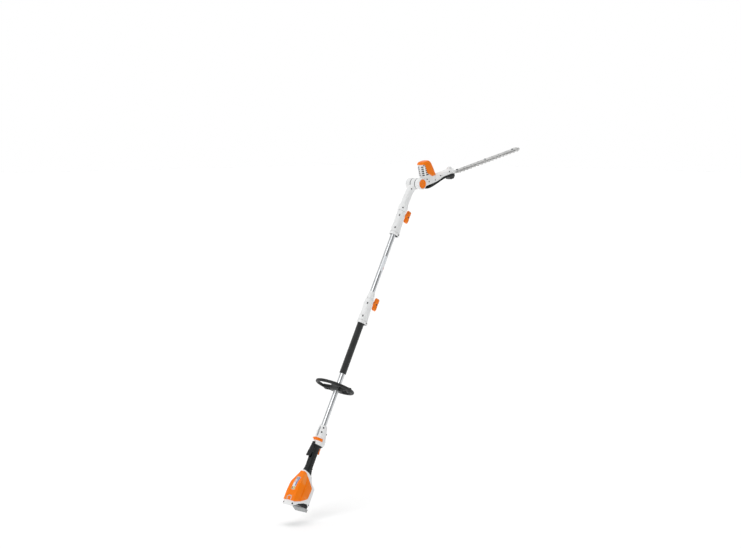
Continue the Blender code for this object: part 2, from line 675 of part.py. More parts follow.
def blade_outline():
    """Spine with teeth on both edges."""
    edge = [(84.0, SPINE_HALF), (TOOTH_START - 14, SPINE_HALF)]
    for k in range(TOOTH_COUNT):
        middle = TOOTH_START + TOOTH_PITCH * k
        edge += [(middle - 6.5, SPINE_HALF), (middle - 4.0, BLADE_HALF), (middle + 4.0, BLADE_HALF),
                 (middle + 6.5, SPINE_HALF)]
    edge.append((TOOTH_START + TOOTH_PITCH * (TOOTH_COUNT - 1) + 9.0, SPINE_HALF))
    return edge + [(u, -y) for u, y in reversed(edge)]


def cutters(head, mats):
    slot_half = STROKE_HALF + BOLT_R + 0.5
    slots = [prism(f"cut_blade_slot_{k}", rounded(u - slot_half, u + slot_half, -BOLT_R - 0.5,
                                                  BOLT_R + 0.5, BOLT_R + 0.4, steps=2),
                   -30, 0, head, along="z") for k, u in enumerate(BOLT_U)]
    top = BLADE_TOP
    for name in ("upper_blade", "lower_blade"):
        slide = pivot(f"{name}_path", head, (CRANK_U, 0, top))
        blade = prism(name, blade_outline(), top - BLADE_THICK, top, slide, mats["steel"], along="z")
        cut_away(blade, *slots)
        top -= BLADE_THICK + GAP
    bar_low = BLADE_TOP + GAP
    bar_outline = rounded(BAR_START, BAR_END, -BAR_HALF, BAR_HALF, 3, steps=2)
    bar = prism("guide_bar", bar_outline, bar_low, bar_low + BAR_THICK, head, mats["steel"],
                along="z")
    holes = [cylinder(f"cut_bar_hole_{k}", BOLT_R + GAP, -20, 10, head, centre=(u, 0, 0),
                      segments=12) for k, u in enumerate(BOLT_U)]
    cut_away(bar, *holes)
    head_low = bar_low + BAR_THICK + GAP
    nut_top = top
    for number, u in enumerate(BOLT_U, start=1):
        profile = [(0, nut_top - 3), (5, nut_top - 3), (5, nut_top), (BOLT_R, nut_top),
                   (BOLT_R, head_low), (5.2, head_low), (4.4, head_low + 3), (0, head_low + 3)]
        turned(f"bar_bolt_{number}", profile, head, mats["dark_steel"], centre=(u, 0, 0),
               segments=12)
    tip = [(BAR_END + GAP, -17.5), (BAR_END + 10, -17.5), (BAR_END + 15, -13), (BAR_END + 15, -8),
           (BAR_END + 11, -4.2), (BAR_END + GAP, -4.2)]
    prism("tip_guard", tip, -13.5, 13.5, head, mats["steel"])


def hinge_parts(head, mats):
    cylinder("hinge_pin", PIN_R, -LUG_OUT + 11, LUG_OUT - 11, head, mats["steel"], axis="y",
             segments=16)
    for side_name, side in SIDES:
        push = pivot(f"release_button_{side_name}_path", head, (0, side * 38, 0))
        outer, inner = side * (LUG_OUT + 1.0), side * (LUG_OUT - 5.5)
        profile = [(0, inner), (BUTTON_R, inner), (BUTTON_R, outer - side * 1.2),
                   (BUTTON_R - 1.2, outer), (0, outer)]
        turned(f"release_button_{side_name}", profile, push, mats["orange"], axis="y",
               segments=32)


# ---------------------------------------------------------------- build

def build():
    for old in list(bpy.data.objects):
        bpy.data.objects.remove(old)
    mats = make_materials()
    tool = pivot("tool_frame")
    tool.rotation_euler = (0.0, LEAN, 0.0)
    tool.location = (-sin(LEAN) * GRIP_Z * MM, 0.0, -cos(LEAN) * GRIP_Z * MM)
    rear_housing(tool, mats)
    rear_cover(tool, mats)
    battery_latch(tool, mats)
    battery(tool, mats)
    electronics(tool, mats)
    grip(tool, mats)
    trigger_and_lever(tool, mats)
    control_housing(tool, mats)
    loop_handle(tool, mats)
    lower_pole(tool, mats)
    middle = pivot("middle_section_path", tool, (0, 0, SLEEVE_LOWER))
    middle_pole(middle, tool, mats)
    arm_body = pivot("arm_path", middle, (0, 0, SLEEVE_UPPER))
    arm(arm_body, middle, mats)
    head = pivot("head_hinge", arm_body, (HINGE_X, 0, HINGE_Z), tilt=HEAD_ANGLE - pi / 2)
    head_housing(head, mats)
    motor_hood(head, mats)
    under_cover(head, mats)
    drive(head, mats)
    cutters(head, mats)
    hinge_parts(head, mats)


build()
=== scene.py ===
"""Looks of the pole hedge trimmer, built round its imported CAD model.

Pieces are drawn in millimetres, in the tool's own frame (z up the shaft from the battery's end,
x to the trigger side, y along the head's hinge) or in the head's frame at the hinge (x out along
the blades, z up from them), and placed in the world by their mesh.
"""

from math import acos, atan2, cos, degrees, pi, radians, sin, sqrt

import bmesh
import bpy
from mathutils import Matrix, Vector


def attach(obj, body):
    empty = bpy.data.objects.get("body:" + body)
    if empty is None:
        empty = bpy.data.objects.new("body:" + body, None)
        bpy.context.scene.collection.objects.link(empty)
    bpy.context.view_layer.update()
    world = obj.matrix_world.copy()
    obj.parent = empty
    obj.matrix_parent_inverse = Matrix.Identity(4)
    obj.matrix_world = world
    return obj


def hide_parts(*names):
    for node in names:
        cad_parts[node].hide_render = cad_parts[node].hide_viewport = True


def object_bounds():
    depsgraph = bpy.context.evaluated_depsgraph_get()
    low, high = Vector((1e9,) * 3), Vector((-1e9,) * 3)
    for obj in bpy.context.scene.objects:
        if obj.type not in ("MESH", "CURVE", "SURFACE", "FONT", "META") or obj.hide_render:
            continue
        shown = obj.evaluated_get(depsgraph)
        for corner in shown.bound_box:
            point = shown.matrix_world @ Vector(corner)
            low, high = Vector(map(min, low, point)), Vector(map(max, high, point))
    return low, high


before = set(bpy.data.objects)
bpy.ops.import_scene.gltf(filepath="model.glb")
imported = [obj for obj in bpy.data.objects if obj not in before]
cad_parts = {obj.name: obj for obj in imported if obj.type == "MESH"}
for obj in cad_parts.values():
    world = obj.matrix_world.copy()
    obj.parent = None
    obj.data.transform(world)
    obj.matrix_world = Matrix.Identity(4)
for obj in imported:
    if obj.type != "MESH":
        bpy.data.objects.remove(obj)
cad_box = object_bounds()

LEAN, GRIP_Z = radians(27.5), 225.0
HINGE = (23.0, 0.0, 1494.0)
HEAD_ANGLE = radians(49.3)
WALL, SEAM = 2.4, 0.25

TOOL = (Matrix.Translation((-sin(LEAN) * GRIP_Z * 0.001, 0, -cos(LEAN) * GRIP_Z * 0.001))
        @ Matrix.Rotation(LEAN, 4, "Y") @ Matrix.Scale(0.001, 4))
HEAD = TOOL @ Matrix.Translation(HINGE) @ Matrix.Rotation(HEAD_ANGLE - pi / 2, 4, "Y")


# ---------------------------------------------------------------- materials

def linear(rgb):
    out = []
    for level in rgb:
        level /= 255.0
        out.append(level / 12.92 if level <= 0.04045 else ((level + 0.055) / 1.055) ** 2.4)
    return (*out, 1.0)


class Nodes:
    """A material's node tree with short calls for what the finishes below share."""

    def __init__(self, name):
        self.material = bpy.data.materials.new(name)
        self.material.use_nodes = True
        self.tree = self.material.node_tree
        self.shader = self.tree.nodes["Principled BSDF"]
        self.coords = self.tree.nodes.new("ShaderNodeTexCoord").outputs["Object"]

    def add(self, kind, links=(), **settings):
        node = self.tree.nodes.new(kind)
        for key, value in settings.items():
            setattr(node, key, value)
        for socket, value in links:
            if isinstance(value, bpy.types.NodeSocket):
                self.tree.links.new(value, node.inputs[socket])
            else:
                node.inputs[socket].default_value = value
        return node

    def noise(self, scale, detail=3.0, rough=0.55, stretch=None):
        source = self.coords
        if stretch:
            source = self.add("ShaderNodeMapping", [("Vector", source), ("Rotation", stretch[0]),
                                                    ("Scale", stretch[1])]).outputs["Vector"]
        return self.add("ShaderNodeTexNoise", [("Vector", source), ("Scale", scale),
                                               ("Detail", detail), ("Roughness", rough)]).outputs["Fac"]

    def ramp(self, value, low, high, a, b):
        """value from low..high turned into a..b."""
        node = self.add("ShaderNodeMapRange", [("Value", value), ("From Min", low), ("From Max", high),
                                               ("To Min", a), ("To Max", b)])
        return node.outputs["Result"]

    def blend(self, factor, a, b):
        """Colour a where factor is 0, b where it is 1."""
        node = self.add("ShaderNodeMix", data_type="RGBA")
        for socket, value in zip((node.inputs[0], node.inputs[6], node.inputs[7]), (factor, a, b)):
            if isinstance(value, bpy.types.NodeSocket):
                self.tree.links.new(value, socket)
            else:
                socket.default_value = value
        return node.outputs[2]

    def sum(self, a, b, weight):
        node = self.add("ShaderNodeMath", [(0, b), (1, weight), (2, a)], operation="MULTIPLY_ADD")
        return node.outputs[0]

    def bump(self, height, strength, distance):
        node = self.add("ShaderNodeBump", [("Height", height), ("Strength", strength),
                                           ("Distance", distance)])
        self.tree.links.new(node.outputs["Normal"], self.shader.inputs["Normal"])

    def set(self, socket, value):
        if isinstance(value, bpy.types.NodeSocket):
            self.tree.links.new(value, self.shader.inputs[socket])
        else:
            self.shader.inputs[socket].default_value = value


def shade(rgb, factor):
    return linear([min(255, level * factor) for level in rgb])


def plastic(name, rgb, rough, grain=2600.0, relief=0.25, dirt=0.05, mottle=0.03, coat=0.0, shine=0.3):
    """Moulded plastic: spark-eroded grain, faint flow marks, handling gloss and rubbed edges."""
    n = Nodes(name)
    broad = n.noise(9.0, 4.0)
    flow = n.noise(60.0, 3.0, 0.6, stretch=((0.0, LEAN, 0.0), (1.0, 1.0, 0.25)))
    base = n.blend(n.ramp(broad, 0.3, 0.7, 0.0, 1.0), shade(rgb, 1.0 - dirt), shade(rgb, 1.0))
    base = n.blend(n.ramp(flow, 0.35, 0.65, 0.0, mottle * 6), base, shade(rgb, 1.0 + mottle))
    worn = n.add("ShaderNodeNewGeometry").outputs["Pointiness"]
    edge = n.ramp(worn, 0.52, 0.60, 0.0, 0.35)
    base = n.blend(edge, base, shade([0.5 * v + 0.5 * 215 for v in rgb], 1.0))
    n.set("Base Color", base)
    n.set("Roughness", n.ramp(flow, 0.3, 0.7, rough - 0.05, rough + 0.05))
    n.set("Specular IOR Level", shine)
    if coat:
        n.set("Coat Weight", coat)
        n.set("Coat Roughness", 0.18)
    cells = n.add("ShaderNodeTexVoronoi", [("Vector", n.coords), ("Scale", grain)]).outputs["Distance"]
    n.bump(n.sum(cells, n.noise(grain * 0.5, 2.0), 0.6), relief, 0.00005)
    return n.material


def foam_material():
    """Closed-cell foam sleeve: matt, finely pitted with painted shade in the pits, a little greyer where it
    is rubbed.
    """
    n = Nodes("foam_black")
    cells = n.add("ShaderNodeTexVoronoi", [("Vector", n.coords), ("Scale", 750.0),
                                           ("Randomness", 1.0)]).outputs["Distance"]
    fine = n.noise(1900.0, 3.0, 0.7)
    broad = n.noise(30.0, 4.0, 0.6)
    base = n.blend(n.ramp(broad, 0.35, 0.65, 0.0, 1.0), linear((22, 24, 24)), linear((34, 37, 37)))
    # painted shade: the colour goes darker towards (14, 15, 15) at the cells' centres, where the bump makes
    # the pits deepest
    n.set("Base Color", n.blend(n.ramp(cells, 0.0, 0.25, 0.7, 0.0), base, linear((14, 15, 15))))
    n.set("Roughness", n.ramp(fine, 0.3, 0.7, 0.72, 0.92))
    n.set("Sheen Weight", 0.35)
    n.set("Sheen Roughness", 0.5)
    n.bump(n.sum(cells, fine, 0.7), 0.7, 0.00035)
    return n.material


def metal(name, rgb, rough, along, brush=0.12, relief=0.10, scratch=0.25, turn=LEAN):
    """Drawn or ground metal with its lines along one axis of a frame turned about Y."""
    n = Nodes(name)
    stretch = {"z": (1.0, 1.0, 0.02), "x": (0.02, 1.0, 1.0), "y": (1.0, 0.02, 1.0)}[along]
    lines = n.noise(2400.0, 4.0, 0.65, stretch=((0.0, -turn, 0.0), stretch))
    blotch = n.noise(24.0, 4.0, 0.6)
    marks = n.noise(420.0, 2.0, 0.5, stretch=((0.0, -turn + 0.5, 0.3), (1.0, 0.03, 1.0)))
    base = n.blend(n.ramp(blotch, 0.3, 0.7, 0.0, 1.0), shade(rgb, 0.94), shade(rgb, 1.02))
    base = n.blend(n.ramp(marks, 0.62, 0.70, 0.0, scratch), base, shade(rgb, 1.12))
    n.set("Base Color", base)
    n.set("Metallic", 1.0)
    n.set("Roughness", n.ramp(lines, 0.3, 0.7, rough - brush / 2, rough + brush / 2))
    n.bump(n.sum(lines, marks, 0.4), relief, 0.00003)
    return n.material


WHITE, ORANGE = (242, 243, 243), (255, 128, 4)
MATS = {
    "white": plastic("white_moulded", WHITE, 0.40, relief=0.22, dirt=0.03, mottle=0.012),
    "orange": plastic("orange_moulded", ORANGE, 0.40, relief=0.25, dirt=0.04, mottle=0.02, shine=0.18),
    "black": plastic("black_moulded", (22, 24, 24), 0.44, relief=0.5, dirt=0.12, mottle=0.10),
    "grip": plastic("black_grip", (26, 28, 28), 0.50, grain=1500.0, relief=0.9, dirt=0.12, mottle=0.12),
    "gloss_black": plastic("black_smooth", (18, 19, 21), 0.26, relief=0.15, dirt=0.1, mottle=0.08),
    "cap": plastic("grey_moulded", (166, 168, 169), 0.46, relief=0.3, dirt=0.06, mottle=0.04),
    "label": plastic("label_film", (232, 236, 240), 0.28, relief=0.05, dirt=0.02, mottle=0.01),
    "foam": foam_material(),
    "tube": metal("tube_anodised", (216, 218, 220), 0.36, "z", brush=0.06),
    "steel": metal("steel_ground", (214, 214, 213), 0.42, "x", turn=LEAN + HEAD_ANGLE - pi / 2),
    "dark_steel": metal("steel_blackened", (30, 31, 33), 0.45, "x", scratch=0.1),
    "zinc": metal("steel_zinc", (150, 152, 154), 0.28, "x", scratch=0.15),
    "copper": metal("copper_wound", (184, 115, 70), 0.35, "z"),
    "board": plastic("board_green", (28, 92, 54), 0.4, relief=0.1),
}


# ---------------------------------------------------------------- meshes

SHARP = 38.0        # degrees; a sharper edge stays a hard edge in the shading


def new_piece(name, verts, faces, place, finish=None, sharp=SHARP):
    mesh = bpy.data.meshes.new(name)
    mesh.from_pydata([place @ Vector(point) for point in verts], [], faces)
    shape = bmesh.new()
    shape.from_mesh(mesh)
    bmesh.ops.recalc_face_normals(shape, faces=shape.faces)
    shape.to_mesh(mesh)
    shape.free()
    mesh.shade_smooth()
    mesh.set_sharp_from_angle(angle=radians(sharp))
    made = bpy.data.objects.new(name, mesh)
    bpy.context.scene.collection.objects.link(made)
    if finish:
        mesh.materials.append(MATS[finish])
    return made


def settle(piece):
    """Applies the piece's modifiers."""
    bpy.context.view_layer.update()
    graph = bpy.context.evaluated_depsgraph_get()
    mesh = bpy.data.meshes.new_from_object(piece.evaluated_get(graph))
    old = piece.data
    piece.modifiers.clear()
    piece.data = mesh
    mesh.name = old.name
    bpy.data.meshes.remove(old)
    mesh.shade_smooth()
    mesh.set_sharp_from_angle(angle=radians(SHARP))
    return piece


def combine(piece, tools, operation):
    for tool in tools:
        change = piece.modifiers.new("combine", "BOOLEAN")
        change.operation, change.solver, change.object = operation, "MANIFOLD", tool
    settle(piece)
    for tool in tools:
        mesh = tool.data
        bpy.data.objects.remove(tool)
        bpy.data.meshes.remove(mesh)
    return piece


def cut(piece, *tools):
    return combine(piece, tools, "DIFFERENCE")


def join(piece, *tools):
    return combine(piece, tools, "UNION")


def keep(piece, *tools):
    return combine(piece, tools, "INTERSECT")


def bevel(piece, width, segments=3, angle=35.0):
    """Rounds the piece's edges; the width is in millimetres."""
    soft = piece.modifiers.new("soften", "BEVEL")
    soft.width, soft.segments, soft.limit_method = width * 0.001, segments, "ANGLE"
    soft.angle_limit = radians(angle)
    return settle(piece)


def loft(name, rings, place, finish=None):
    count = len(rings[0])
    verts = [point for ring in rings for point in ring]
    faces = [tuple(range(count)), tuple(range(len(verts) - count, len(verts)))]
    for low in range(0, len(verts) - count, count):
        for i in range(count):
            j = (i + 1) % count
            faces.append((low + i, low + j, low + count + j, low + count + i))
    return new_piece(name, verts, faces, place, finish)


AXES = {
    "y": lambda a, b, t: (a, t, b),
    "z": lambda a, b, t: (a, b, t),
    "x": lambda a, b, t: (t, a, b),
}


def prism(name, outline, low, high, place, finish=None, along="y", soft=0.0):
    """An outline pushed along an axis. soft rounds both end faces' edges."""
    pose = AXES[along]
    made = loft(name, [[pose(a, b, t) for a, b in outline] for t in (low, high)], place, finish)
    return bevel(made, soft, 3, 50.0) if soft else made


def box(name, low, high, place, finish=None, soft=0.0):
    outline = [(low[0], low[1]), (high[0], low[1]), (high[0], high[1]), (low[0], high[1])]
    made = prism(name, outline, low[2], high[2], place, finish, along="z")
    return bevel(made, soft) if soft else made


def turned(name, profile, place, finish=None, axis="z", centre=(0.0, 0.0, 0.0), closed=False,
           segments=64):
    pose = {
        "z": lambda r, a, t: (r * cos(a), r * sin(a), t),
        "y": lambda r, a, t: (r * cos(a), t, r * sin(a)),
        "x": lambda r, a, t: (t, r * cos(a), r * sin(a)),
    }[axis]
    verts, faces, rows = [], [], []
    for radius, height in profile:
        steps = segments if radius > 1e-9 else 1
        rows.append([len(verts) + i for i in range(steps)])
        for i in range(steps):
            point = pose(radius, 2 * pi * (i + 0.37) / segments, height)
            verts.append(tuple(point[k] + centre[k] for k in range(3)))
    if closed:
        rows.append(rows[0])
    for low, high in zip(rows, rows[1:]):
        for i in range(segments):
            j = (i + 1) % segments
            face = [low[i % len(low)], low[j % len(low)], high[j % len(high)], high[i % len(high)]]
            faces.append(tuple(dict.fromkeys(face)))
    return new_piece(name, verts, faces, place, finish)


def cylinder(name, radius, low, high, place, finish=None, **where):
    low, high = sorted((low, high))
    return turned(name, [(0, low), (radius, low), (radius, high), (0, high)], place, finish, **where)


def rounded(x0, x1, y0, y1, radius, steps=8):
    outline = []
    for x, y, quarter in ((x1, y1, 0), (x0, y1, 1), (x0, y0, 2), (x1, y0, 3)):
        cx = x - radius if quarter in (0, 3) else x + radius
        cy = y - radius if quarter in (0, 1) else y + radius
        for k in range(steps + 1):
            angle = (quarter + k / steps) * pi / 2
            outline.append((cx + radius * cos(angle), cy + radius * sin(angle)))
    return outline


def filleted(corners, radius, steps=6):
    """A polygon with its corners rounded. A corner may bring its own radius as a third number."""
    outline, count = [], len(corners)
    for k in range(count):
        here = Vector(corners[k][:2])
        before, after = Vector(corners[k - 1][:2]), Vector(corners[(k + 1) % count][:2])
        r = corners[k][2] if len(corners[k]) > 2 else radius
        u, v = (before - here).normalized(), (after - here).normalized()
        half = acos(max(-1.0, min(1.0, u.dot(v)))) / 2
        if r < 0.05 or half > radians(88.5):
            outline.append(tuple(here))
            continue
        reach = min(r / (sin(half) / cos(half)), 0.48 * (before - here).length,
                    0.48 * (after - here).length)
        r = reach * sin(half) / cos(half)
        centre = here + (u + v).normalized() * (r / sin(half))
        start, end = here + u * reach - centre, here + v * reach - centre
        a0, a1 = atan2(start.y, start.x), atan2(end.y, end.x)
        turn = (a1 - a0 + pi) % (2 * pi) - pi
        for s in range(steps + 1):
            angle = a0 + turn * s / steps
            outline.append((centre.x + r * cos(angle), centre.y + r * sin(angle)))
    return outline


def eased(stations, t):
    """Station values at t on a smooth curve that never overshoots its stations."""
    if t <= stations[0][0]:
        return stations[0][1:]
    if t >= stations[-1][0]:
        return stations[-1][1:]
    count = len(stations)
    i = max(k for k in range(count - 1) if stations[k][0] <= t)
    h = stations[i + 1][0] - stations[i][0]
    s = (t - stations[i][0]) / h
    out = []
    for c in range(1, len(stations[0])):
        def slope(k):
            if k <= 0 or k >= count - 1:
                return None
            a = (stations[k][c] - stations[k - 1][c]) / (stations[k][0] - stations[k - 1][0])
            b = (stations[k + 1][c] - stations[k][c]) / (stations[k + 1][0] - stations[k][0])
            return 0.0 if a * b <= 0 else 2 * a * b / (a + b)
        chord = (stations[i + 1][c] - stations[i][c]) / h
        m0, m1 = slope(i), slope(i + 1)
        m0 = chord if m0 is None else m0
        m1 = chord if m1 is None else m1
        p0, p1 = stations[i][c], stations[i + 1][c]
        out.append((2 * s ** 3 - 3 * s ** 2 + 1) * p0 + (s ** 3 - 2 * s ** 2 + s) * h * m0
                   + (-2 * s ** 3 + 3 * s ** 2) * p1 + (s ** 3 - s ** 2) * h * m1)
    return out


def oval(spec, inset, count=56, power=2.7):
    low, high, half = spec[0] + inset, spec[1] - inset, spec[2] - inset
    middle, reach = (low + high) / 2, (high - low) / 2
    ring = []
    for k in range(count):
        a = 2 * pi * (k + 0.31) / count
        c, s = cos(a), sin(a)
        ring.append((middle + reach * (1 if c >= 0 else -1) * abs(c) ** (2 / power),
                     half * (1 if s >= 0 else -1) * abs(s) ** (2 / power)))
    return ring


def faceted(spec, inset):
    """The rear housing: a flat back, slanted shoulders, flat sides and a rounded front."""
    back, back_half, fold, half, front = spec
    back, front, half = back + inset, front - inset, half - inset
    shoulder = back_half - 0.8 * inset
    corner = min(16.0, half / 2)
    side = [(back, shoulder - 2.5, 4.0), (fold, half, 7.0), (front, half, corner)]
    return filleted(side + [(a, -b, r) for a, b, r in reversed(side)], 4.0, 6)


def casing(name, section, stations, place, finish=None, inset=0.0, along="z", ends=(0.0, 0.0),
           step=4.0, span=None):
    """A smooth casing through its stations. ends gives the rounding of its low and high ends."""
    low, high = span or (stations[0][0], stations[-1][0])
    pose = {"z": lambda a, b, t: (a, b, t), "x": lambda a, b, t: (t, b, a)}[along]
    heights = []
    for k in range(5):
        if ends[0]:
            a = pi / 2 * k / 5
            heights.append((low + ends[0] * (1 - cos(a)), ends[0] * (1 - sin(a))))
    inner_low, inner_high = low + ends[0], high - ends[1]
    count = max(1, round((inner_high - inner_low) / step))
    heights += [(inner_low + (inner_high - inner_low) * k / count, 0.0) for k in range(count + 1)]
    for k in range(4, -1, -1):
        if ends[1]:
            a = pi / 2 * k / 5
            heights.append((high - ends[1] * (1 - cos(a)), ends[1] * (1 - sin(a))))
    rings = []
    for t, shrink in heights:
        rings.append([pose(a, b, t) for a, b in section(eased(stations, t), inset + shrink)])
    return loft(name, rings, place, finish)


def body(piece, name, *nodes, slot=None):
    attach(piece, name)
    if nodes:
        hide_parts(*nodes)
    return piece


def facing(origin, direction, place):
    """A frame at a point whose z looks along a direction."""
    return place @ Matrix.Translation(origin) @ Vector(direction).to_track_quat("Z", "Y").to_matrix().to_4x4()


def screw(name, origin, direction, place, rides, radius=3.3, depth=2.6, finish="dark_steel"):
    """A pan-head screw with a six-lobed drive, sitting in its counterbore."""
    at = facing(origin, direction, place)
    top = -depth
    head = turned(name, [(0, top - 2.2), (radius, top - 2.2), (radius, top - 0.9),
                         (radius * 0.86, top - 0.25), (radius * 0.6, top), (0, top)], at, finish,
                  segments=28)
    lobes = []
    for k in range(36):
        a = 2 * pi * k / 36
        r = radius * (0.46 + 0.075 * cos(6 * a))
        lobes.append((r * cos(a), r * sin(a)))
    cut(head, prism("drive", lobes, top - 1.4, top + 1, at, along="z"))
    return body(head, rides, slot="dark_steel")


def screws_at(prefix, points, place, rides, **form):
    for number, (origin, direction) in enumerate(points, start=1):
        screw(f"{prefix}_{number}", origin, direction, place, rides, **form)


def bores(points, place, radius=3.9, depth=5.2, name="bore"):
    """Counterbores for screws, as cutters."""
    return [turned(f"{name}{k}", [(0, -depth), (radius, -depth), (radius, 0.1), (radius + 0.7, 1.1),
                                  (radius + 0.7, 7), (0, 7)], facing(o, d, place), segments=28)
            for k, (o, d) in enumerate(points)]


def strip(name, rows, finish):
    """A thin closed strip through rows of four points each, in the tool's frame."""
    faces = []
    for k in range(len(rows) - 1):
        p = 4 * k
        faces += [(p, p + 2, p + 6, p + 4), (p + 1, p + 5, p + 7, p + 3),
                  (p, p + 4, p + 5, p + 1), (p + 2, p + 3, p + 7, p + 6)]
    last = 4 * (len(rows) - 1)
    faces += [(0, 1, 3, 2), (last, last + 2, last + 3, last + 1)]
    return new_piece(name, [point for row in rows for point in row], faces, TOOL, finish)


def hexagon(radius, x, y):
    return [(x + radius * cos(pi * k / 3), y + radius * sin(pi * k / 3)) for k in range(6)]


def ribbon(name, points, width, depth, place):
    """A groove cutter along a path of (point, outward normal)."""
    verts, faces = [], []
    count = len(points)
    for k, (p, n) in enumerate(points):
        p, n = Vector(p), Vector(n).normalized()
        ahead = Vector(points[min(k + 1, count - 1)][0]) - Vector(points[max(k - 1, 0)][0])
        across = n.cross(ahead).normalized() * width / 2
        for q in (p - n * depth - across * 0.6, p - n * depth + across * 0.6,
                  p + n * 2 + across * 1.3, p + n * 2 - across * 1.3):
            verts.append(tuple(q))
    for k in range(count - 1):
        a = 4 * k
        for i in range(4):
            j = (i + 1) % 4
            faces.append((a + i, a + j, a + 4 + j, a + 4 + i))
    faces += [(0, 1, 2, 3), tuple(4 * (count - 1) + i for i in range(4))]
    return new_piece(name, verts, faces, place)


SIDES = (("left", -1), ("right", 1))


# ---------------------------------------------------------------- rear unit

HOUSING = (
    (1.0, -41.0, 31.0, -13.0, 38.0, 49.0),
    (60.0, -41.0, 31.0, -13.0, 39.0, 49.0),
    (84.0, -40.0, 29.8, -12.2, 38.8, 49.0),
    (106.0, -38.0, 28.0, -11.0, 38.0, 48.5),
    (121.0, -33.0, 24.0, -9.0, 34.0, 33.0),
    (136.0, -28.0, 19.0, -7.0, 29.0, 25.0),
    (152.0, -22.5, 14.0, -5.0, 23.0, 22.5),
    (176.0, -17.0, 11.0, -4.0, 16.5, 19.5),
)
BAY_EDGE = ((-75.0, 5.0, 0.1), (-41.0, 7.0, 3.0), (-28.0, 16.0, 8.0), (-15.0, 26.5, 10.0),
            (6.0, 35.0, 10.0), (27.0, 38.5, 5.0), (38.0, 31.0, 4.0), (70.0, 26.0, 0.1), (70.0, -30.0, 0.1),
            (-75.0, -30.0, 0.1))
CAP_TOP = 20.0
CAP_SIDE = ((18.0, 20.0, 0.3), (20.0, 17.5, 1.0), (43.0, 6.2, 2.0), (46.5, 6.8, 1.5), (47.2, 20.0, 0.4))
NECK_LOW, NECK_HIGH = (-40.0, 178.0), (40.0, 138.0)
COVER_PROUD = 2.6       # the orange cover stands this far off the housing
COVER_EDGE = ((-75.0, 28.0, 0.1), (-38.0, 28.0, 4.0), (-13.0, 38.0, 6.0), (19.0, 58.0, 5.0),
              (23.0, 104.0, 6.0), (-4.0, 136.0, 6.0), (-15.0, 157.0, 3.0), (-22.0, 161.0, 3.0),
              (-75.0, 161.0, 0.1))


def split_seam(piece, place, low, high, x0=-80, x1=80):
    """The line where two half shells meet."""
    return cut(piece, box("seam", (x0, -SEAM, low), (x1, SEAM, high), place))


def rear_housing():
    shell = casing("rear_housing", faceted, HOUSING, TOOL, "white", ends=(3.0, 0.0), span=(-4.0, 182.0))
    hollow = casing("hollow", faceted, HOUSING, TOOL, inset=WALL, span=(-12.0, 190.0))
    edge = prism("edge", filleted(BAY_EDGE, 4.0), -70, 70, TOOL)
    neck = prism("neck", [NECK_LOW, NECK_HIGH, (40.0, 210.0), (-40.0, 210.0)], -70, 70, TOOL)
    cut(shell, hollow)
    cut(shell, edge)
    cut(shell, neck)
    cut(shell, box("window", (-60, -10.6, 30), (-30, 10.6, 46), TOOL))
    screws = []
    for side in (-1, 1):
        screws += [((-41.0, side * 26.5, 17.5), (-1, side * 0.18, 0)),
                   ((-13.0, side * 26.0, 138.0), (-0.43, side * 0.9, 0.3)),
                   ((42.0, side * 36.2, 37.5), (0.35, side, 0))]
    cut(shell, *bores(screws, TOOL, radius=3.8, depth=2.0))
    # parting line of the rim, and a shadow gap under the cover
    cut(shell, box("seam_low", (-80, -SEAM, -10), (-30, SEAM, 28), TOOL))
    cut(shell, box("seam_front", (0, -SEAM, -10), (80, SEAM, 200), TOOL))
    body(shell, "rear_unit", "rear_housing_left", "rear_housing_right", slot="white")
    screws_at("housing_screw", screws, TOOL, "rear_unit", radius=3.4, depth=0.4)


def rear_cover():
    cover = casing("rear_cover_skin", faceted, HOUSING, TOOL, "orange", inset=-COVER_PROUD,
        span=(10.0, 170.0))
    inside = casing("inside", faceted, HOUSING, TOOL, inset=-0.7, span=(5.0, 178.0))
    cut(cover, inside)
    keep(cover, prism("edge", filleted(COVER_EDGE, 4.0), -70, 70, TOOL))
    cut(cover, prism("notch", rounded(-13.2, 13.2, 6, 50, 9), -60, -25, TOOL, along="x"))
    # the grooves beside the slanted facet
    for side in (-1, 1):
        for share in (0.10, 0.86):
            line = []
            for k in range(24):
                z = 14 + (158 - 14) * k / 23
                back, back_half, fold, half, _ = eased(HOUSING, z)
                normal = Vector((-(half - back_half), side * (fold - back), 0)).normalized()
                point = Vector((back + (fold - back) * share,
                                side * (back_half + (half - back_half) * share), z))
                line.append((tuple(point + normal * 2.3), tuple(normal)))
            cut(cover, ribbon("groove", line, 3.6, 1.6, TOOL))
    bevel(cover, 0.45, 2, 50.0)
    body(cover, "rear_unit", "rear_cover", slot="orange")
    # latch surround: a pale frame round the tab
    rim = prism("latch_surround", rounded(-12.2, 12.2, 27.5, 48.6, 8.8), -43.4, -40.0, TOOL, "label",
        along="x", soft=0.5)
    cut(rim, prism("hole", rounded(-9.9, 9.9, 20, 46.6, 6.4), -60, -30, TOOL, along="x"))
    body(rim, "rear_unit", slot="grey")
    tab = prism("latch_tab", rounded(-8.9, 8.9, 29.2, 45.6, 5.6), -43.9, -41.0, TOOL, "orange", along="x",
                soft=0.7)
    ridges = [box("ridge", (-44.6, -6, z), (-43.5, 6, z + 1.2), TOOL) for z in (32, 34.6, 37.2)]
    cut(tab, *ridges)
    body(tab, "battery_latch", "battery_latch", slot="orange")


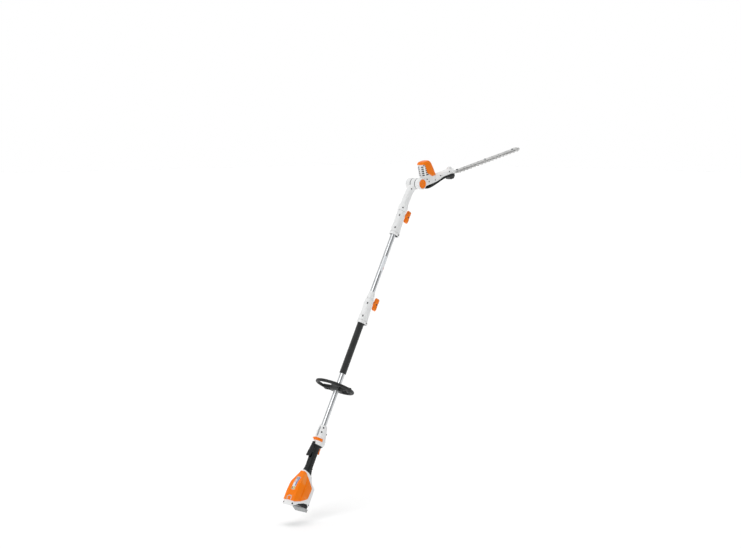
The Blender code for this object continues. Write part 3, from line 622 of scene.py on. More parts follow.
def sticker():
    """A blank label: coloured blocks, no lettering."""
    low, high = 74.0, 132.0
    y0, y1 = -13.5, 6.5
    layers = [("plate_film", y0, y1, low, high, "label", 0.25)]
    for name, a, b, c, d, rgb in (("blue", -13.0, -6.2, 91.0, 131.0, (70, 112, 176)),
                                  ("grey", -5.2, 5.8, 118.0, 131.0, (150, 156, 166)),
                                  ("rose", -5.2, 5.8, 104.0, 115.5, (226, 190, 188)),
                                  ("yellow", -13.0, -3.6, 75.0, 88.0, (212, 190, 92)),
                                  ("olive", -1.6, 5.8, 75.0, 86.0, (126, 118, 78))):
        MATS[f"print_{name}"] = plastic(f"print_{name}", rgb, 0.3, relief=0.05)
        layers.append((f"plate_{name}", a, b, c, d, f"print_{name}", 0.4))
    for name, a, b, c, d, finish, lift in layers:
        steps = max(2, round((d - c) / 4))
        rows = []
        for k in range(steps + 1):
            z = c + (d - c) * k / steps
            outer = eased(HOUSING, z)[0] - COVER_PROUD - lift
            rows.append([(x, y, z) for y in (a, b) for x in (outer, outer + 0.3)])
        body(strip(name, rows, finish), "rear_unit", slot="white")


def battery():
    x0, x1, half = -23.0, 45.5, 33.5
    case = prism("battery_shell", rounded(x0, x1, -half, half, 9), CAP_TOP + 0.3, 100.0, TOOL, "gloss_black",
                 along="z", soft=1.2)
    ribs = []
    for side in (-1, 1):
        for k in range(4):
            x = -10 + 13 * k
            ribs.append(prism("rib", rounded(x, x + 8, 26, 46, 2.5), side * half - 0.9, side * half + 0.9,
                TOOL))
    cut(case, *ribs)
    body(case, "battery", "battery_case", "battery_cells", slot="black")
    cap = prism("battery_foot", filleted(CAP_SIDE, 3), -half - 0.6, half + 0.6, TOOL, "cap", soft=1.2)
    cut(cap, *[box("rib", (30.0, y, 0.0), (31.2, y + 14, 12.4), TOOL) for y in (-26, -7, 12)])
    body(cap, "battery", "battery_end_cap", slot="grey")
    for k in range(4):
        lamp = cylinder(f"charge_lamp_{k + 1}", 1.2, 45.0, 45.95, TOOL, "label", axis="x",
                        centre=(0, -9 + 4 * k, 30), segments=20)
        body(lamp, "battery", slot="grey")
    key = prism("charge_button", rounded(8, 15, 26, 34, 2), 44.8, 46.2, TOOL, "cap", along="x", soft=0.3)
    body(key, "battery", slot="grey")


GRIP = (
    (138.0, -28.5, 25.5, 25.0),
    (152.0, -22.5, 22.0, 21.5),
    (170.0, -16.5, 19.5, 16.5),
    (190.0, -13.0, 17.0, 14.0),
    (232.0, -14.0, 17.0, 14.0),
    (266.0, -14.5, 18.0, 14.5),
    (274.0, -15.0, 21.0, 15.0),
    (282.6, -16.0, 31.0, 15.5),
)


def grip():
    shell = casing("grip_shell", oval, GRIP, TOOL, "grip", span=(130.0, 282.6), ends=(0.0, 0.6))
    hollow = casing("hollow", oval, GRIP, TOOL, inset=WALL, span=(120.0, 290.0))
    low, high = NECK_LOW, NECK_HIGH
    below = [(low[0], low[1] + 0.3), (high[0], high[1] + 0.3), (60.0, 90.0), (-60.0, 90.0)]
    cut(shell, hollow)
    cut(shell, prism("neck", below, -70, 70, TOOL))
    cut(shell, box("trigger_slot", (10, -6.5, 246), (40, 6.5, 279), TOOL))
    cut(shell, box("lever_slot", (-40, -9, 224), (-8, 9, 292), TOOL))
    # soft-touch side panels, outlined by a groove
    for side in (-1, 1):
        outline = filleted([(-7, 176, 6), (9, 168, 6), (9, 240, 8), (-6, 240, 8)], 6)
        loops = []
        for a, b in outline + outline[:1]:
            spec = eased(GRIP, b)
            loops.append(((a, side * (spec[2] - 0.1), b), (0, side, 0)))
        cut(shell, ribbon("panel", loops, 1.1, 0.9, TOOL))
    screws = []
    for side in (-1, 1):
        screws += [((12.0, side * 15.0, 272.5), (0.25, side, 0)),
            ((12.5, side * 15.8, 182.0), (0.4, side, 0))]
    cut(shell, *bores(screws, TOOL, radius=2.7, depth=2.0))
    split_seam(shell, TOOL, 130, 300)
    body(shell, "rear_unit", "grip_left", "grip_right", slot="black")
    screws_at("grip_screw", screws, TOOL, "rear_unit", radius=2.3, depth=0.4, finish="zinc")
    pull = prism("trigger_blade", filleted([(11, 278, 1), (22, 278, 2), (26, 271, 6), (24.6, 262, 10),
                                            (28.6, 250, 2.2), (24, 248.2, 2.2), (17.5, 256, 8),
                                            (11, 262, 2)], 2), -5.8, 5.8, TOOL, "orange", soft=1.6)
    body(pull, "trigger", "trigger", slot="orange")
    outline = [(-18.6, 292, 1), (-20.8, 292, 1), (-21.6, 281, 8), (-30.6, 229, 2.5), (-27.8, 226.2, 2),
               (-20.5, 228, 2), (-17.5, 240, 8), (-12.5, 281, 1), (-18.4, 282.2, 0.6)]
    lever = prism("squeeze_lever", filleted(outline, 2), -7.6, 7.6, TOOL, "gloss_black", soft=1.3)
    body(lever, "ergo_lever", "ergo_lever", slot="black")


CONTROL = (
    (283.0, -17.0, 33.0, 15.5),
    (292.0, -18.0, 37.0, 17.0),
    (306.0, -18.0, 35.0, 17.0),
    (332.0, -18.0, 27.0, 17.0),
    (352.0, -17.5, 21.0, 15.5),
    (368.0, -14.6, 15.0, 13.8),
)


def control_housing():
    shell = casing("control_shell", oval, CONTROL, TOOL, "white", ends=(2.2, 1.4), step=2.5)
    hollow = casing("hollow", oval, CONTROL, TOOL, inset=WALL, span=(270.0, 367.0))
    cut(shell, hollow)
    cut(shell, cylinder("tube_way", 11.3, 350, 390, TOOL))
    cut(shell, box("lever_way", (-40, -9, 279), (-14, 9, 285.6), TOOL))
    # recessed panel on the back, and its edge on the sides
    recess = casing("recess", lambda s, i: oval(s, i, power=3.4), ((318.0, -40.0, -14.9, 9.2),
                                                                  (330.0, -40.0, -14.6, 9.6),
                                                                  (352.0, -40.0, -14.4, 9.0),
                                                                  (361.0, -40.0, -14.2, 6.8)), TOOL,
                    ends=(3.0, 3.0))
    cut(shell, recess)
    screws = []
    for side in (-1, 1):
        screws += [((-11.0, side * 15.4, 338.0), (-0.4, side, 0)),
            ((-8.0, side * 14.2, 357.0), (-0.35, side, 0.12)), ((22.0, side * 14.2, 337.0), (0.75, side, 0))]
    cut(shell, *bores(screws, TOOL, radius=3.6, depth=1.9))
    split_seam(shell, TOOL, 270, 380)
    body(shell, "rear_unit", "control_housing_left", "control_housing_right", slot="white")
    screws_at("control_screw", screws, TOOL, "rear_unit", radius=3.2, depth=0.3)
    panel = casing("control_panel", lambda s, i: oval(s, i, power=3.4),
        ((319.0, -15.2, -13.4, 8.7), (352.0, -14.9, -13.1, 8.5), (360.0, -14.9, -13.1, 6.3)), TOOL, "cap",
        ends=(0.6, 0.6))
    body(panel, "rear_unit", slot="grey")
    band = ((300.0, -18.0, 37.0, 17.0), (312.0, -18.0, 37.0, 17.0))
    slider = casing("slider_band", oval, band, TOOL, "orange", inset=-2.6, ends=(1.2, 1.2), step=2)
    tab = prism("tab", rounded(-30, -15, -8, 8, 5.5), 303, 308, TOOL, along="z", soft=1.0)
    join(slider, tab)
    cut(slider, casing("inside", oval, band, TOOL, inset=-1.0, span=(290.0, 322.0)))
    cut(slider, prism("front", [(9, 280), (60, 280), (60, 330), (4, 330)], -40, 40, TOOL))
    cut(slider, *[box("rib", (-28.5 + 2.6 * k, -5.5, 307.4), (-27.3 + 2.6 * k, 5.5, 309),
        TOOL) for k in range(4)])
    body(slider, "unlocking_slider", "unlocking_slider", slot="orange")


# ---------------------------------------------------------------- pole

TUBE_R, TUBE_BORE_R = 11.0, 9.8
SLEEVE_LOWER, SLEEVE_UPPER, SLEEVE_LENGTH = 830.0, 1240.0, 112.0
WING_ABOVE = 103.0      # wing screw above its sleeve's lower end


def tube(name, node, low, high, rides):
    """A drawn tube with chamfered ends."""
    verts, faces = [], []
    count = 96
    heights = [low, low + 0.6, high - 0.6, high]
    for index, z in enumerate(heights):
        shrink = 0.5 if index in (0, 3) else 0.0
        for k in range(count):
            a = 2 * pi * k / count
            verts.append(((TUBE_R - shrink) * cos(a), (TUBE_R - shrink) * sin(a), z))
    for z in (high, low):
        for k in range(count):
            a = 2 * pi * k / count
            verts.append((TUBE_BORE_R * cos(a), TUBE_BORE_R * sin(a), z))
    for row in range(5):
        for k in range(count):
            j = (k + 1) % count
            a, b = row * count, (row + 1) * count
            faces.append((a + k, a + j, b + j, b + k))
    for k in range(count):
        j = (k + 1) % count
        faces.append((5 * count + k, 5 * count + j, j, k))
    body(new_piece(name, verts, faces, TOOL, "tube"), rides, node, slot="tube")


LOOP_Z, LOOP_X, LOOP_R, LOOP_RIM = 536.0, -15.0, 78.0, 6.7
CLAMP_Y = (-18, 18)


def clamp_ways():
    return [cylinder("way", 2.6, -30, 30, TOOL, axis="x", centre=(0, y, LOOP_Z), segments=24)
            for y in CLAMP_Y]


def loop_handle():
    """Ring handle: a ribbed grip on its lower half, webs to a two-part clamp."""
    around, across = 192, 20
    verts, faces = [], []
    for i in range(around):
        a = 2 * pi * i / around
        ribbed = abs(((degrees(a) + 180) % 360) - 180)
        depth = 0.55 if 18 < ribbed < 80 else 0.0
        wave = depth * (1 if (i // 2) % 2 else 0)
        for k in range(across):
            b = 2 * pi * (k + 0.5) / across
            outward = cos(b)
            r = LOOP_RIM - (wave if outward > -0.35 else 0.0)
            rr = LOOP_R + r * cos(b)
            verts.append((LOOP_X + rr * cos(a), rr * sin(a), LOOP_Z + r * sin(b)))
    for i in range(around):
        j = (i + 1) % around
        for k in range(across):
            m = (k + 1) % across
            faces.append((i * across + k, j * across + k, j * across + m, i * across + m))
    ring = new_piece("ring_handle", verts, faces, TOOL, "grip", sharp=60.0)
    web = [(-13, LOOP_Z - 7, 2), (8, LOOP_Z - 12, 3), (8, LOOP_Z + 12, 3), (-13, LOOP_Z + 7, 2)]
    spoke = prism("spoke", filleted(web, 2), -74, 74, TOOL, soft=0.0)
    hub = prism("hub", filleted([(-17, LOOP_Z - 13), (-0.2, LOOP_Z - 13, 0.1), (-0.2, LOOP_Z + 13, 0.1),
                                 (-17, LOOP_Z + 13)], 3), -24, 24, TOOL)
    join(ring, spoke, hub)
    bore = cylinder("bore", TUBE_R + 0.3, LOOP_Z - 30, LOOP_Z + 30, TOOL)
    back = box("back", (-0.2, -25.5, LOOP_Z - 20), (30, 25.5, LOOP_Z + 20), TOOL)
    pockets = []
    for side in (-1, 1):
        for y in (33, 50):
            low, high = sorted((side * y, side * (y + 12.5)))
            outline = rounded(-8.5, 4.5, low, high, 2.5)
            pockets.append(prism("pocket", outline, LOOP_Z - 30, LOOP_Z - 3.0, TOOL, along="z"))
            pockets.append(prism("pocket", outline, LOOP_Z + 3.0, LOOP_Z + 30, TOOL, along="z"))
    cut(ring, bore)
    cut(ring, back)
    cut(ring, *clamp_ways())
    cut(ring, *pockets)
    body(ring, "loop_handle", "loop_handle", slot="black")
    clamp = prism("ring_clamp", rounded(0.2, 16, -24, 24, 6), LOOP_Z - 12.5, LOOP_Z + 12.5, TOOL, "black",
        along="z", soft=1.4)
    cut(clamp, cylinder("bore", TUBE_R + 0.3, LOOP_Z - 30, LOOP_Z + 30, TOOL))
    cut(clamp, *clamp_ways())
    body(clamp, "loop_handle", "loop_clamp", slot="black")
    for number, y in enumerate(CLAMP_Y, start=1):
        profile = [(0, -14), (2.3, -14), (2.3, 16.3), (4.5, 16.3), (4.5, 18.6), (3.9, 19.7), (3.2, 20),
            (0, 20)]
        bolt = turned(f"clamp_bolt_{number}", profile, TOOL, "dark_steel", axis="x", centre=(0, y, LOOP_Z),
                      segments=36)
        cut(bolt, prism("drive", hexagon(2.3, y, LOOP_Z), 17.6, 22, TOOL, along="x"))
        body(bolt, "loop_handle", f"loop_clamp_screw_{number}", slot="dark_steel")


def foam_grip():
    low, high = 601.0, 829.7
    profile = [(11.3, low), (12.6, low), (13.7, low + 0.5), (14.2, low + 1.6)]
    count = 46
    for k in range(count + 1):
        z = low + 3 + (high - low - 6) * k / count
        profile.append((14.22 - 0.05 * (k % 2), z))
    profile += [(14.2, high - 1.2), (13.9, high - 0.4), (13.2, high), (11.3, high)]
    body(turned("foam_sleeve", profile, TOOL, "foam", closed=True, segments=72), "rear_unit", "foam_grip",
         slot="foam")


def tube_label():
    """Blank film on the middle tube with a small coloured block, no lettering."""
    for name, low, high, start, end, lift, finish in (("tube_film", 1071, 1139, -150, -30, 0.12, "label"),
                                                      ("tube_mark", 1080, 1092, -78, -56, 0.2, "print_red")):
        rows, steps = [], 18
        for k in range(steps + 1):
            a = radians(start + (end - start) * k / steps)
            rows.append([(r * cos(a), r * sin(a), z)
                         for r in (TUBE_R + 0.01, TUBE_R + lift) for z in (low, high)])
        body(strip(name, rows, finish), "middle_section", slot="white")


def sleeve(prefix, low, rides):
    """Clamp sleeve: flange at its lower end, raised rail down the back, slots and a screw boss."""
    top = low + SLEEVE_LENGTH
    stations = ((low, -19.0, 29.0, 18.0), (low + 11.5, -19.0, 29.0, 18.0), (low + 13.5, -17.0, 26.5, 16.5),
                (low + 60, -17.0, 22.0, 16.0), (top - 8, -17.0, 18.5, 16.0), (top, -15.5, 17.0, 14.8))
    shell = casing(f"{prefix}_sleeve", oval, stations, TOOL, "white", ends=(1.0, 1.6), step=1.6)
    hollow = casing("hollow", oval, stations, TOOL, inset=3.2, span=(low - 5, top - 3.0), step=2.0)
    cut(shell, hollow)
    cut(shell, cylinder("tube_way", 11.3, top - 12, top + 12, TOOL))
    cut(shell, cylinder("way", 4.6, 9, 40, TOOL, axis="x", centre=(0, 0, low + WING_ABOVE), segments=32))
    wing = low + WING_ABOVE
    flat = cylinder("flat", 11.5, 19.2, 40, TOOL, axis="x", centre=(0, 0, wing), segments=48)
    cut(shell, flat)
    for side in (-1, 1):
        panel = prism("panel", filleted([(-10.5, low + 22, 3), (12, low + 22, 3), (10, low + 96, 4),
                                         (-10.5, low + 96, 4)], 3), side * 15.6, side * 20, TOOL)
        cut(shell, panel)
        for z in (26, 84):
            cut(shell, *[box("slot", (-24, min(side * 6.8, side * 12.4), low + z),
                             (-10, max(side * 6.8, side * 12.4), low + z + 9), TOOL)])
        boss = bores([((14.0, side * 16.9, low + 6), (0.1, side, 0))], TOOL, radius=3.4, depth=2.2)
        cut(shell, *boss)
    ring = casing("ring", oval, stations, TOOL, inset=-2.0, span=(low + 11.6, low + 13.6), step=0.6)
    inner = casing("ring_in", oval, stations, TOOL, inset=1.8, span=(low + 10.0, low + 15.2), step=0.6)
    cut(ring, inner)
    cut(shell, ring)
    split_seam(shell, TOOL, low - 5, top + 5)
    body(shell, rides, f"{prefix}_sleeve_left", f"{prefix}_sleeve_right", slot="white")
    for side_name, side in SIDES:
        screw(f"{prefix}_sleeve_screw_{side_name}", (14.0, side * 16.9, low + 6), (0.1, side, 0), TOOL, rides,
              radius=3.2, depth=0.6)
    liner = casing(f"{prefix}_sleeve_liner", oval, stations, TOOL, "gloss_black", inset=3.5,
                   span=(low + 3.0, low + 96.0), step=4.0)
    cut(liner, casing("hole", oval, stations, TOOL, inset=4.1, span=(low + 1.0, low + 98.0), step=4.0))
    cut(liner, cylinder("way", 5.0, 6, 40, TOOL, axis="x", centre=(0, 0, wing), segments=32))
    body(liner, rides, slot="black")


def wing_screw(prefix, low):
    """A wing knob: a waisted bar with round ends, and a dark nut and pin in its middle."""
    height = low + WING_ABOVE
    outline = []
    for k in range(72):
        a = 2 * pi * k / 72
        r = 1 / sqrt((cos(a) / 8.3) ** 2 + (sin(a) / 28.0) ** 2)
        y, z = r * cos(a), r * sin(a)
        swell = 7.9 if abs(z) > 12 else 7.9 - 1.4 * cos(pi * z / 24) ** 2
        y = max(-swell, min(swell, y * 1.5))
        outline.append((y, height + z))
    wings = prism(f"{prefix}_wing_knob", outline, 34.6, 50, TOOL, "orange", along="x")
    bevel(wings, 1.8, 3, 45.0)
    shank = turned("shank", [(0, 22.2), (6.8, 22.2), (7.5, 23.0), (7.5, 31), (8.2, 36), (0, 36)], TOOL,
        axis="x", centre=(0, 0, height), segments=40)
    join(wings, shank)
    cut(wings, prism("pocket", rounded(-5.2, 5.2, height - 9.0, height + 9.0, 3.0), 42.0, 52, TOOL,
        along="x"))
    cut(wings, *[prism("dish", rounded(-4.3, 4.3, height + s * 18 - 6, height + s * 18 + 6, 4.0), 49.2, 52,
        TOOL, along="x") for s in (-1, 1)])
    rides = f"{prefix}_wing_screw"
    body(wings, rides, f"{prefix}_wing_screw", slot="orange")
    stud = cylinder(f"{prefix}_wing_stud", 3.9, TUBE_R + 0.4, 30, TOOL, "zinc", axis="x",
        centre=(0, 0, height), segments=32)
    body(stud, rides, slot="steel")
    cap = prism(f"{prefix}_wing_nut", hexagon(6.4 * 0.62, 0, height), 41.0, 45.0, TOOL, "gloss_black",
        along="x", soft=0.4)
    body(cap, rides, slot="dark_steel")
    pin = cylinder(f"{prefix}_wing_pin", 3.6, -6.9, 6.9, TOOL, "gloss_black", axis="y",
                   centre=(42.5, 0, height), segments=32)
    body(pin, rides, slot="dark_steel")


def collars():
    base = SLEEVE_LOWER + SLEEVE_LENGTH + 0.3
    profile = [(11.3, base), (15.6, base), (16.5, base + 0.8), (16.5, base + 10), (15.4, base + 13),
               (12.9, base + 30.5), (12.3, base + 32), (11.3, base + 32)]
    piece = turned("lower_collar", profile, TOOL, "white", closed=True, segments=72)
    body(piece, "middle_section", "middle_collar", slot="white")
    base = SLEEVE_UPPER + SLEEVE_LENGTH + 0.3
    profile = [(11.3, base), (18.6, base), (19.5, base + 0.8), (21.0, base + 9), (20.8, base + 12.0),
               (20.0, base + 24), (18.2, 1381.0), (17.0, 1382.7), (11.3, 1382.7)]
    piece = turned("upper_collar", profile, TOOL, "white", closed=True, segments=72)
    screws = [((-14.6, -14.6, base + 11), (-1, -1, 0)), ((19.2, -8.0, base + 14), (1, -0.4, 0)),
              ((-14.6, 14.6, base + 11), (-1, 1, 0)), ((19.2, 8.0, base + 14), (1, 0.4, 0))]
    cut(piece, *bores(screws, TOOL, radius=3.4, depth=2.4))
    body(piece, "arm", "arm_collar", slot="white")
    screws_at("collar_screw", screws, TOOL, "arm", radius=3.1, depth=0.5)


ARM = (
    (1383.0, -16.0, 16.0, 15.0),
    (1430.0, -14.5, 17.5, 15.0),
    (1452.0, -12.5, 21.0, 15.0),
    (1466.0, -9.0, 27.0, 13.2),
    (1480.0, -0.5, 34.0, 13.2),
)


def arm():
    shell = casing("arm_shell", oval, ARM, TOOL, "white", ends=(1.0, 0.0), step=3.0)
    knuckle = turned("knuckle", [(0, -12.9), (20.6, -12.9), (24.0, -10.4), (24.0, 10.4), (20.6, 12.9),
        (0, 12.9)], TOOL, axis="y", centre=HINGE, segments=96)
    hollow = casing("hollow", oval, ARM, TOOL, inset=WALL, span=(1375.0, 1470.0))
    join(shell, knuckle)
    cut(shell, hollow)
    cut(shell, cylinder("pin", 5.3, -60, 60, TOOL, axis="y", centre=HINGE, segments=40))
    screws = [((-3.0, side * 13.4, 1457.0), (-0.3, side, 0)) for side in (-1, 1)]
    cut(shell, *bores(screws, TOOL, radius=3.0, depth=2.0))
    # a shallow rail down each side
    for side in (-1, 1):
        line = []
        for k in range(20):
            z = 1388 + (1452 - 1388) * k / 19
            spec = eased(ARM, z)
            x = spec[0] + 6.5
            line.append(((x, side * (spec[2] - 1.3), z), (-0.55, side, 0)))
        cut(shell, ribbon("rail", line, 1.2, 0.8, TOOL))
    split_seam(shell, TOOL, 1370, 1530)
    body(shell, "arm", "arm_left", "arm_right", slot="white")
    screws_at("arm_screw", screws, TOOL, "arm", radius=3.9, depth=0.4)


# ---------------------------------------------------------------- head

HINGE_R, LUG_IN, LUG_OUT, BUTTON_R = 24.0, 13.9, 41.0, 19.5
GEARBOX = (
    (6.0, -22.0, 21.0, 40.6),
    (24.0, -22.5, 19.0, 38.0),
    (50.0, -22.5, 13.0, 30.0),
    (74.0, -22.5, 11.5, 27.0),
    (100.0, -22.0, 11.5, 25.5),
    (126.0, -18.5, 12.0, 24.0),
    (162.0, -10.4, 12.5, 22.5),
    (227.0, -10.4, 13.0, 19.5),
)
TOWER = (
    (1.0, 41.0, 119.0, 23.6),
    (13.0, 40.0, 112.0, 23.6),
    (58.0, 39.0, 98.0, 23.6),
    (72.0, 40.0, 92.0, 22.5),
    (80.5, 45.0, 85.0, 19.0),
)
HOOD = TOWER[:4] + ((83.5, 46.0, 84.0, 18.0),)
HUMP = ((8.0, 202.0, 226.0, 11.5), (16.0, 203.0, 226.0, 11.0), (22.0, 207.0, 222.0, 8.0))
# up the head, low u, high u, half width
FOOT = ((-33.0, 202.0, 221.0, 14.5), (-21.0, 190.0, 226.0, 18.5), (-17.5, 172.0, 225.5, 19.0),
        (-11.2, 172.0, 224.0, 19.0))
UNDER_COVER = (
    (27.0, -28.5, -23.2, 22.0),
    (50.0, -34.5, -22.9, 28.5),
    (62.0, -34.5, -22.9, 27.0),
    (84.0, -31.5, -22.8, 25.5),
    (100.0, -28.0, -22.4, 24.5),
    (129.0, -22.6, -18.4, 22.5),
    (162.0, -19.0, -10.9, 21.5),
    (177.5, -18.6, -10.9, 20.5),
)


def tower_section(spec, inset):
    return oval(spec, inset, count=64, power=3.2)


def head_housing():
    shell = casing("head_shell", oval, GEARBOX, HEAD, "white", along="x", ends=(0.0, 2.5), step=4.0)
    tower = casing("tower", tower_section, TOWER, HEAD, ends=(0.0, 1.5), step=3.0)
    hump = casing("hump", lambda s, i: oval(s, i, power=2.3), ((2.0,) + HUMP[0][1:],) + HUMP, HEAD,
        ends=(0.0, 4.5), step=2.0, span=(2.0, 22.0))
    join(shell, tower, hump)
    inside = casing("inside", oval, GEARBOX, HEAD, inset=WALL, along="x", span=(28.0, 262.0))
    tower_inside = casing("tower_inside", tower_section, TOWER[:-1] + ((92.0,) + TOWER[-1][1:],), HEAD,
        inset=WALL)
    reach = HINGE_R + 0.8
    fork = [(reach * cos(pi * k / 32), reach * sin(pi * k / 32)) for k in range(-16, 17)]
    fork_way = prism("fork", fork + [(-60, reach), (-60, -reach)], -LUG_IN - 0.5, LUG_IN + 0.5, HEAD)
    rooms = [cylinder("room", HINGE_R - 1.0, side * (LUG_IN - 1), side * 60, HEAD, axis="y", segments=96)
             for side in (-1, 1)]
    cut(shell, inside)
    cut(shell, tower_inside)
    cut(shell, fork_way)
    cut(shell, *rooms)
    for side in (-1, 1):
        inner, rim = side * (LUG_OUT - 10.0), side * LUG_OUT
        profile = [(BUTTON_R + 0.6, rim - side * 0.6), (BUTTON_R + 1.2, rim), (HINGE_R - 1.2, rim),
            (HINGE_R, rim - side * 1.2), (HINGE_R, side * (LUG_IN + 2.4)), (HINGE_R - 3.0, side * LUG_IN),
            (5.3, side * LUG_IN), (5.3, inner), (BUTTON_R + 0.6, inner)]
        join(shell, turned("lug", profile, HEAD, axis="y", closed=True, segments=96))
    cut(shell, box("blade_way", (112, -14, -40), (270, 14, -4.6), HEAD))
    vents = []
    for row in range(5):
        low = 24.0 + 9.0 * row
        for side in (-1, 1):
            a, b = sorted((side * 4.5, side * 17.0))
            vents.append(prism("vent", rounded(a, b, low, low + 5.4, 1.0, 4), 30, 48, HEAD, along="x"))
            vents.append(prism("vent", rounded(49.0, 63.0, low, low + 5.4, 1.0, 4), side * 17.0, side * 30.0,
                HEAD))
    cut(shell, *vents)
    screws = []
    for side in (-1, 1):
        screws += [((38.0, side * 34.6, 11.0), (0, side, 0.3)), ((52.0, side * 29.6, -3.0), (0.15, side, 0)),
                   ((95.0, side * 25.8, -7.0), (0.05, side, 0)), ((133.0, side * 23.6, 2.0), (0.05, side, 0)),
                   ((193.0, side * 20.9, 4.5), (0.04, side, 0)), ((45.5, side * 19.6, 69.0), (-0.5, side, 0))]
    cut(shell, *bores(screws, HEAD, radius=4.2, depth=2.2))
    split_seam(shell, HEAD, -40, 120, 24, 300)
    body(shell, "head", "head_housing_left", "head_housing_right", slot="white")
    screws_at("head_screw", screws, HEAD, "head", radius=2.5, depth=0.4)
    # cooling mesh behind the vents
    mesh_back = box("vent_screen", (48.5, -17, 22), (49.1, 17, 67), HEAD, "gloss_black")
    cut(mesh_back, *[cylinder("hole", 1.1, 40, 60, HEAD, axis="x", centre=(0, y * 4.0, 26 + 4 * z),
        segments=10) for y in range(-3, 4) for z in range(10)])
    body(mesh_back, "head", slot="black")


def motor_hood():
    hood = casing("hood_shell", tower_section, HOOD, HEAD, "orange", inset=-2.2, ends=(0.0, 5.0), step=3.0)
    inside = casing("inside", tower_section, TOWER[:-1] + ((81.5,) + TOWER[-1][1:],), HEAD, inset=-0.5)
    edge = [(30, 73, 0.1), (49, 73, 5.0), (55.5, 33, 8.0), (80, 13.6, 5.0), (135, 13.6, 0.1), (135, 100, 0.1),
            (30, 100, 0.1)]
    cut(hood, inside)
    keep(hood, prism("edge", filleted(edge, 3), -60, 60, HEAD))
    # a crease down each side of the moulding
    for side in (-1, 1):
        line = []
        for k in range(20):
            z = 17 + (70 - 17) * k / 19
            spec = eased(HOOD, z)
            line.append(((spec[1] + 1.0 - 5.0, side * (spec[2] + 2.0), z), (0.25, side, 0)))
        cut(hood, ribbon("crease", line, 1.0, 0.6, HEAD))
    bevel(hood, 0.4, 2, 50.0)
    body(hood, "head", "motor_hood", slot="orange")


def under_cover():
    cover = casing("belly_cover", oval, UNDER_COVER, HEAD, "black", along="x", step=4.0, ends=(1.0, 1.0))
    rings = [[(u, y, t) for u, y in rounded(low, high, -half, half, 3.0)]
             for t, low, high, half in FOOT]
    foot = loft("foot", rings, HEAD)
    bevel(foot, 0.8, 2, 40.0)
    trough = prism("trough", [(40, -24), (62, -32), (84, -29), (129, -20.4), (162, -16.9), (190, -16.9),
        (190, 0), (40, 0)], -15, 15, HEAD)
    join(cover, foot)
    cut(cover, trough)
    cut(cover, box("way", (160, -15, -16.9), (232, 15, 0), HEAD))
    cut(cover, *[box("rib", (204 + 4.6 * k, -24, -35), (206.2 + 4.6 * k, 24, -31.8), HEAD) for k in range(4)])
    screws = [((70.0, -14.0, -33.4), (0.1, 0, -1)), ((70.0, 14.0, -33.4), (0.1, 0, -1))]
    body(cover, "head", "under_cover", slot="black")
    screws_at("belly_screw", screws, HEAD, "head", radius=2.6, depth=-0.6)


BLADE_TOP, BLADE_THICK = -10.9, 2.0
TOOTH_START, TOOTH_PITCH, TOOTH_COUNT = 253.0, 24.0, 17
BOLT_U = (262.0, 448.0, 634.0)
WEDGE = ((0, 1, 2, 3), (4, 7, 6, 5), (0, 4, 5, 1), (1, 5, 6, 2), (2, 6, 7, 3), (3, 7, 4, 0))


def blade(name, node, top, grind):
    """One blade: teeth on both edges, ground to a bevel on both flanks."""
    spine, half, low = 11.0, 29.0, top - BLADE_THICK
    edge = [(84.0, spine), (TOOTH_START - 13, spine)]
    for k in range(TOOTH_COUNT):
        m = TOOTH_START + TOOTH_PITCH * k
        edge += [(m - 8.5, spine + 0.2), (m - 6.4, spine + 2.2), (m - 3.9, half - 1.6), (m - 2.7, half),
                 (m + 2.7, half), (m + 3.9, half - 1.6), (m + 6.4, spine + 2.2), (m + 8.5, spine + 0.2)]
    edge.append((TOOTH_START + TOOTH_PITCH * (TOOTH_COUNT - 1) + 9.0, spine))
    outline = edge + [(u, -y) for u, y in reversed(edge)]
    made = prism(name, outline, low, top, HEAD, "steel", along="z")
    slots = [prism("slot", rounded(u - 11.5, u + 11.5, -3.5, 3.5, 3.4), -30, 0, HEAD, along="z")
             for u in BOLT_U]
    cut(made, *slots)
    # ground flanks: a wedge taken off each tooth's outer face
    face = top if grind > 0 else low
    verts, faces = [], []
    for k in range(TOOTH_COUNT):
        m = TOOTH_START + TOOTH_PITCH * k
        for side in (-1, 1):
            for flank in (-1, 1):
                first = len(verts)
                for y in (spine + 3.4, half + 2.0):
                    x_edge = m + flank * (6.1 if y < half else 3.4)
                    verts += [(x_edge + flank * 1.5, side * y, face + grind * 0.6),
                              (x_edge + flank * 1.5, side * y, face - grind * 1.5),
                              (x_edge - flank * 1.9, side * y, face + grind * 0.02),
                              (x_edge - flank * 1.9, side * y, face + grind * 0.6)]
                faces += [tuple(first + i for i in corners) for corners in WEDGE]
    cut(made, new_piece("wedges", verts, faces, HEAD))
    body(made, node, node, slot="steel")


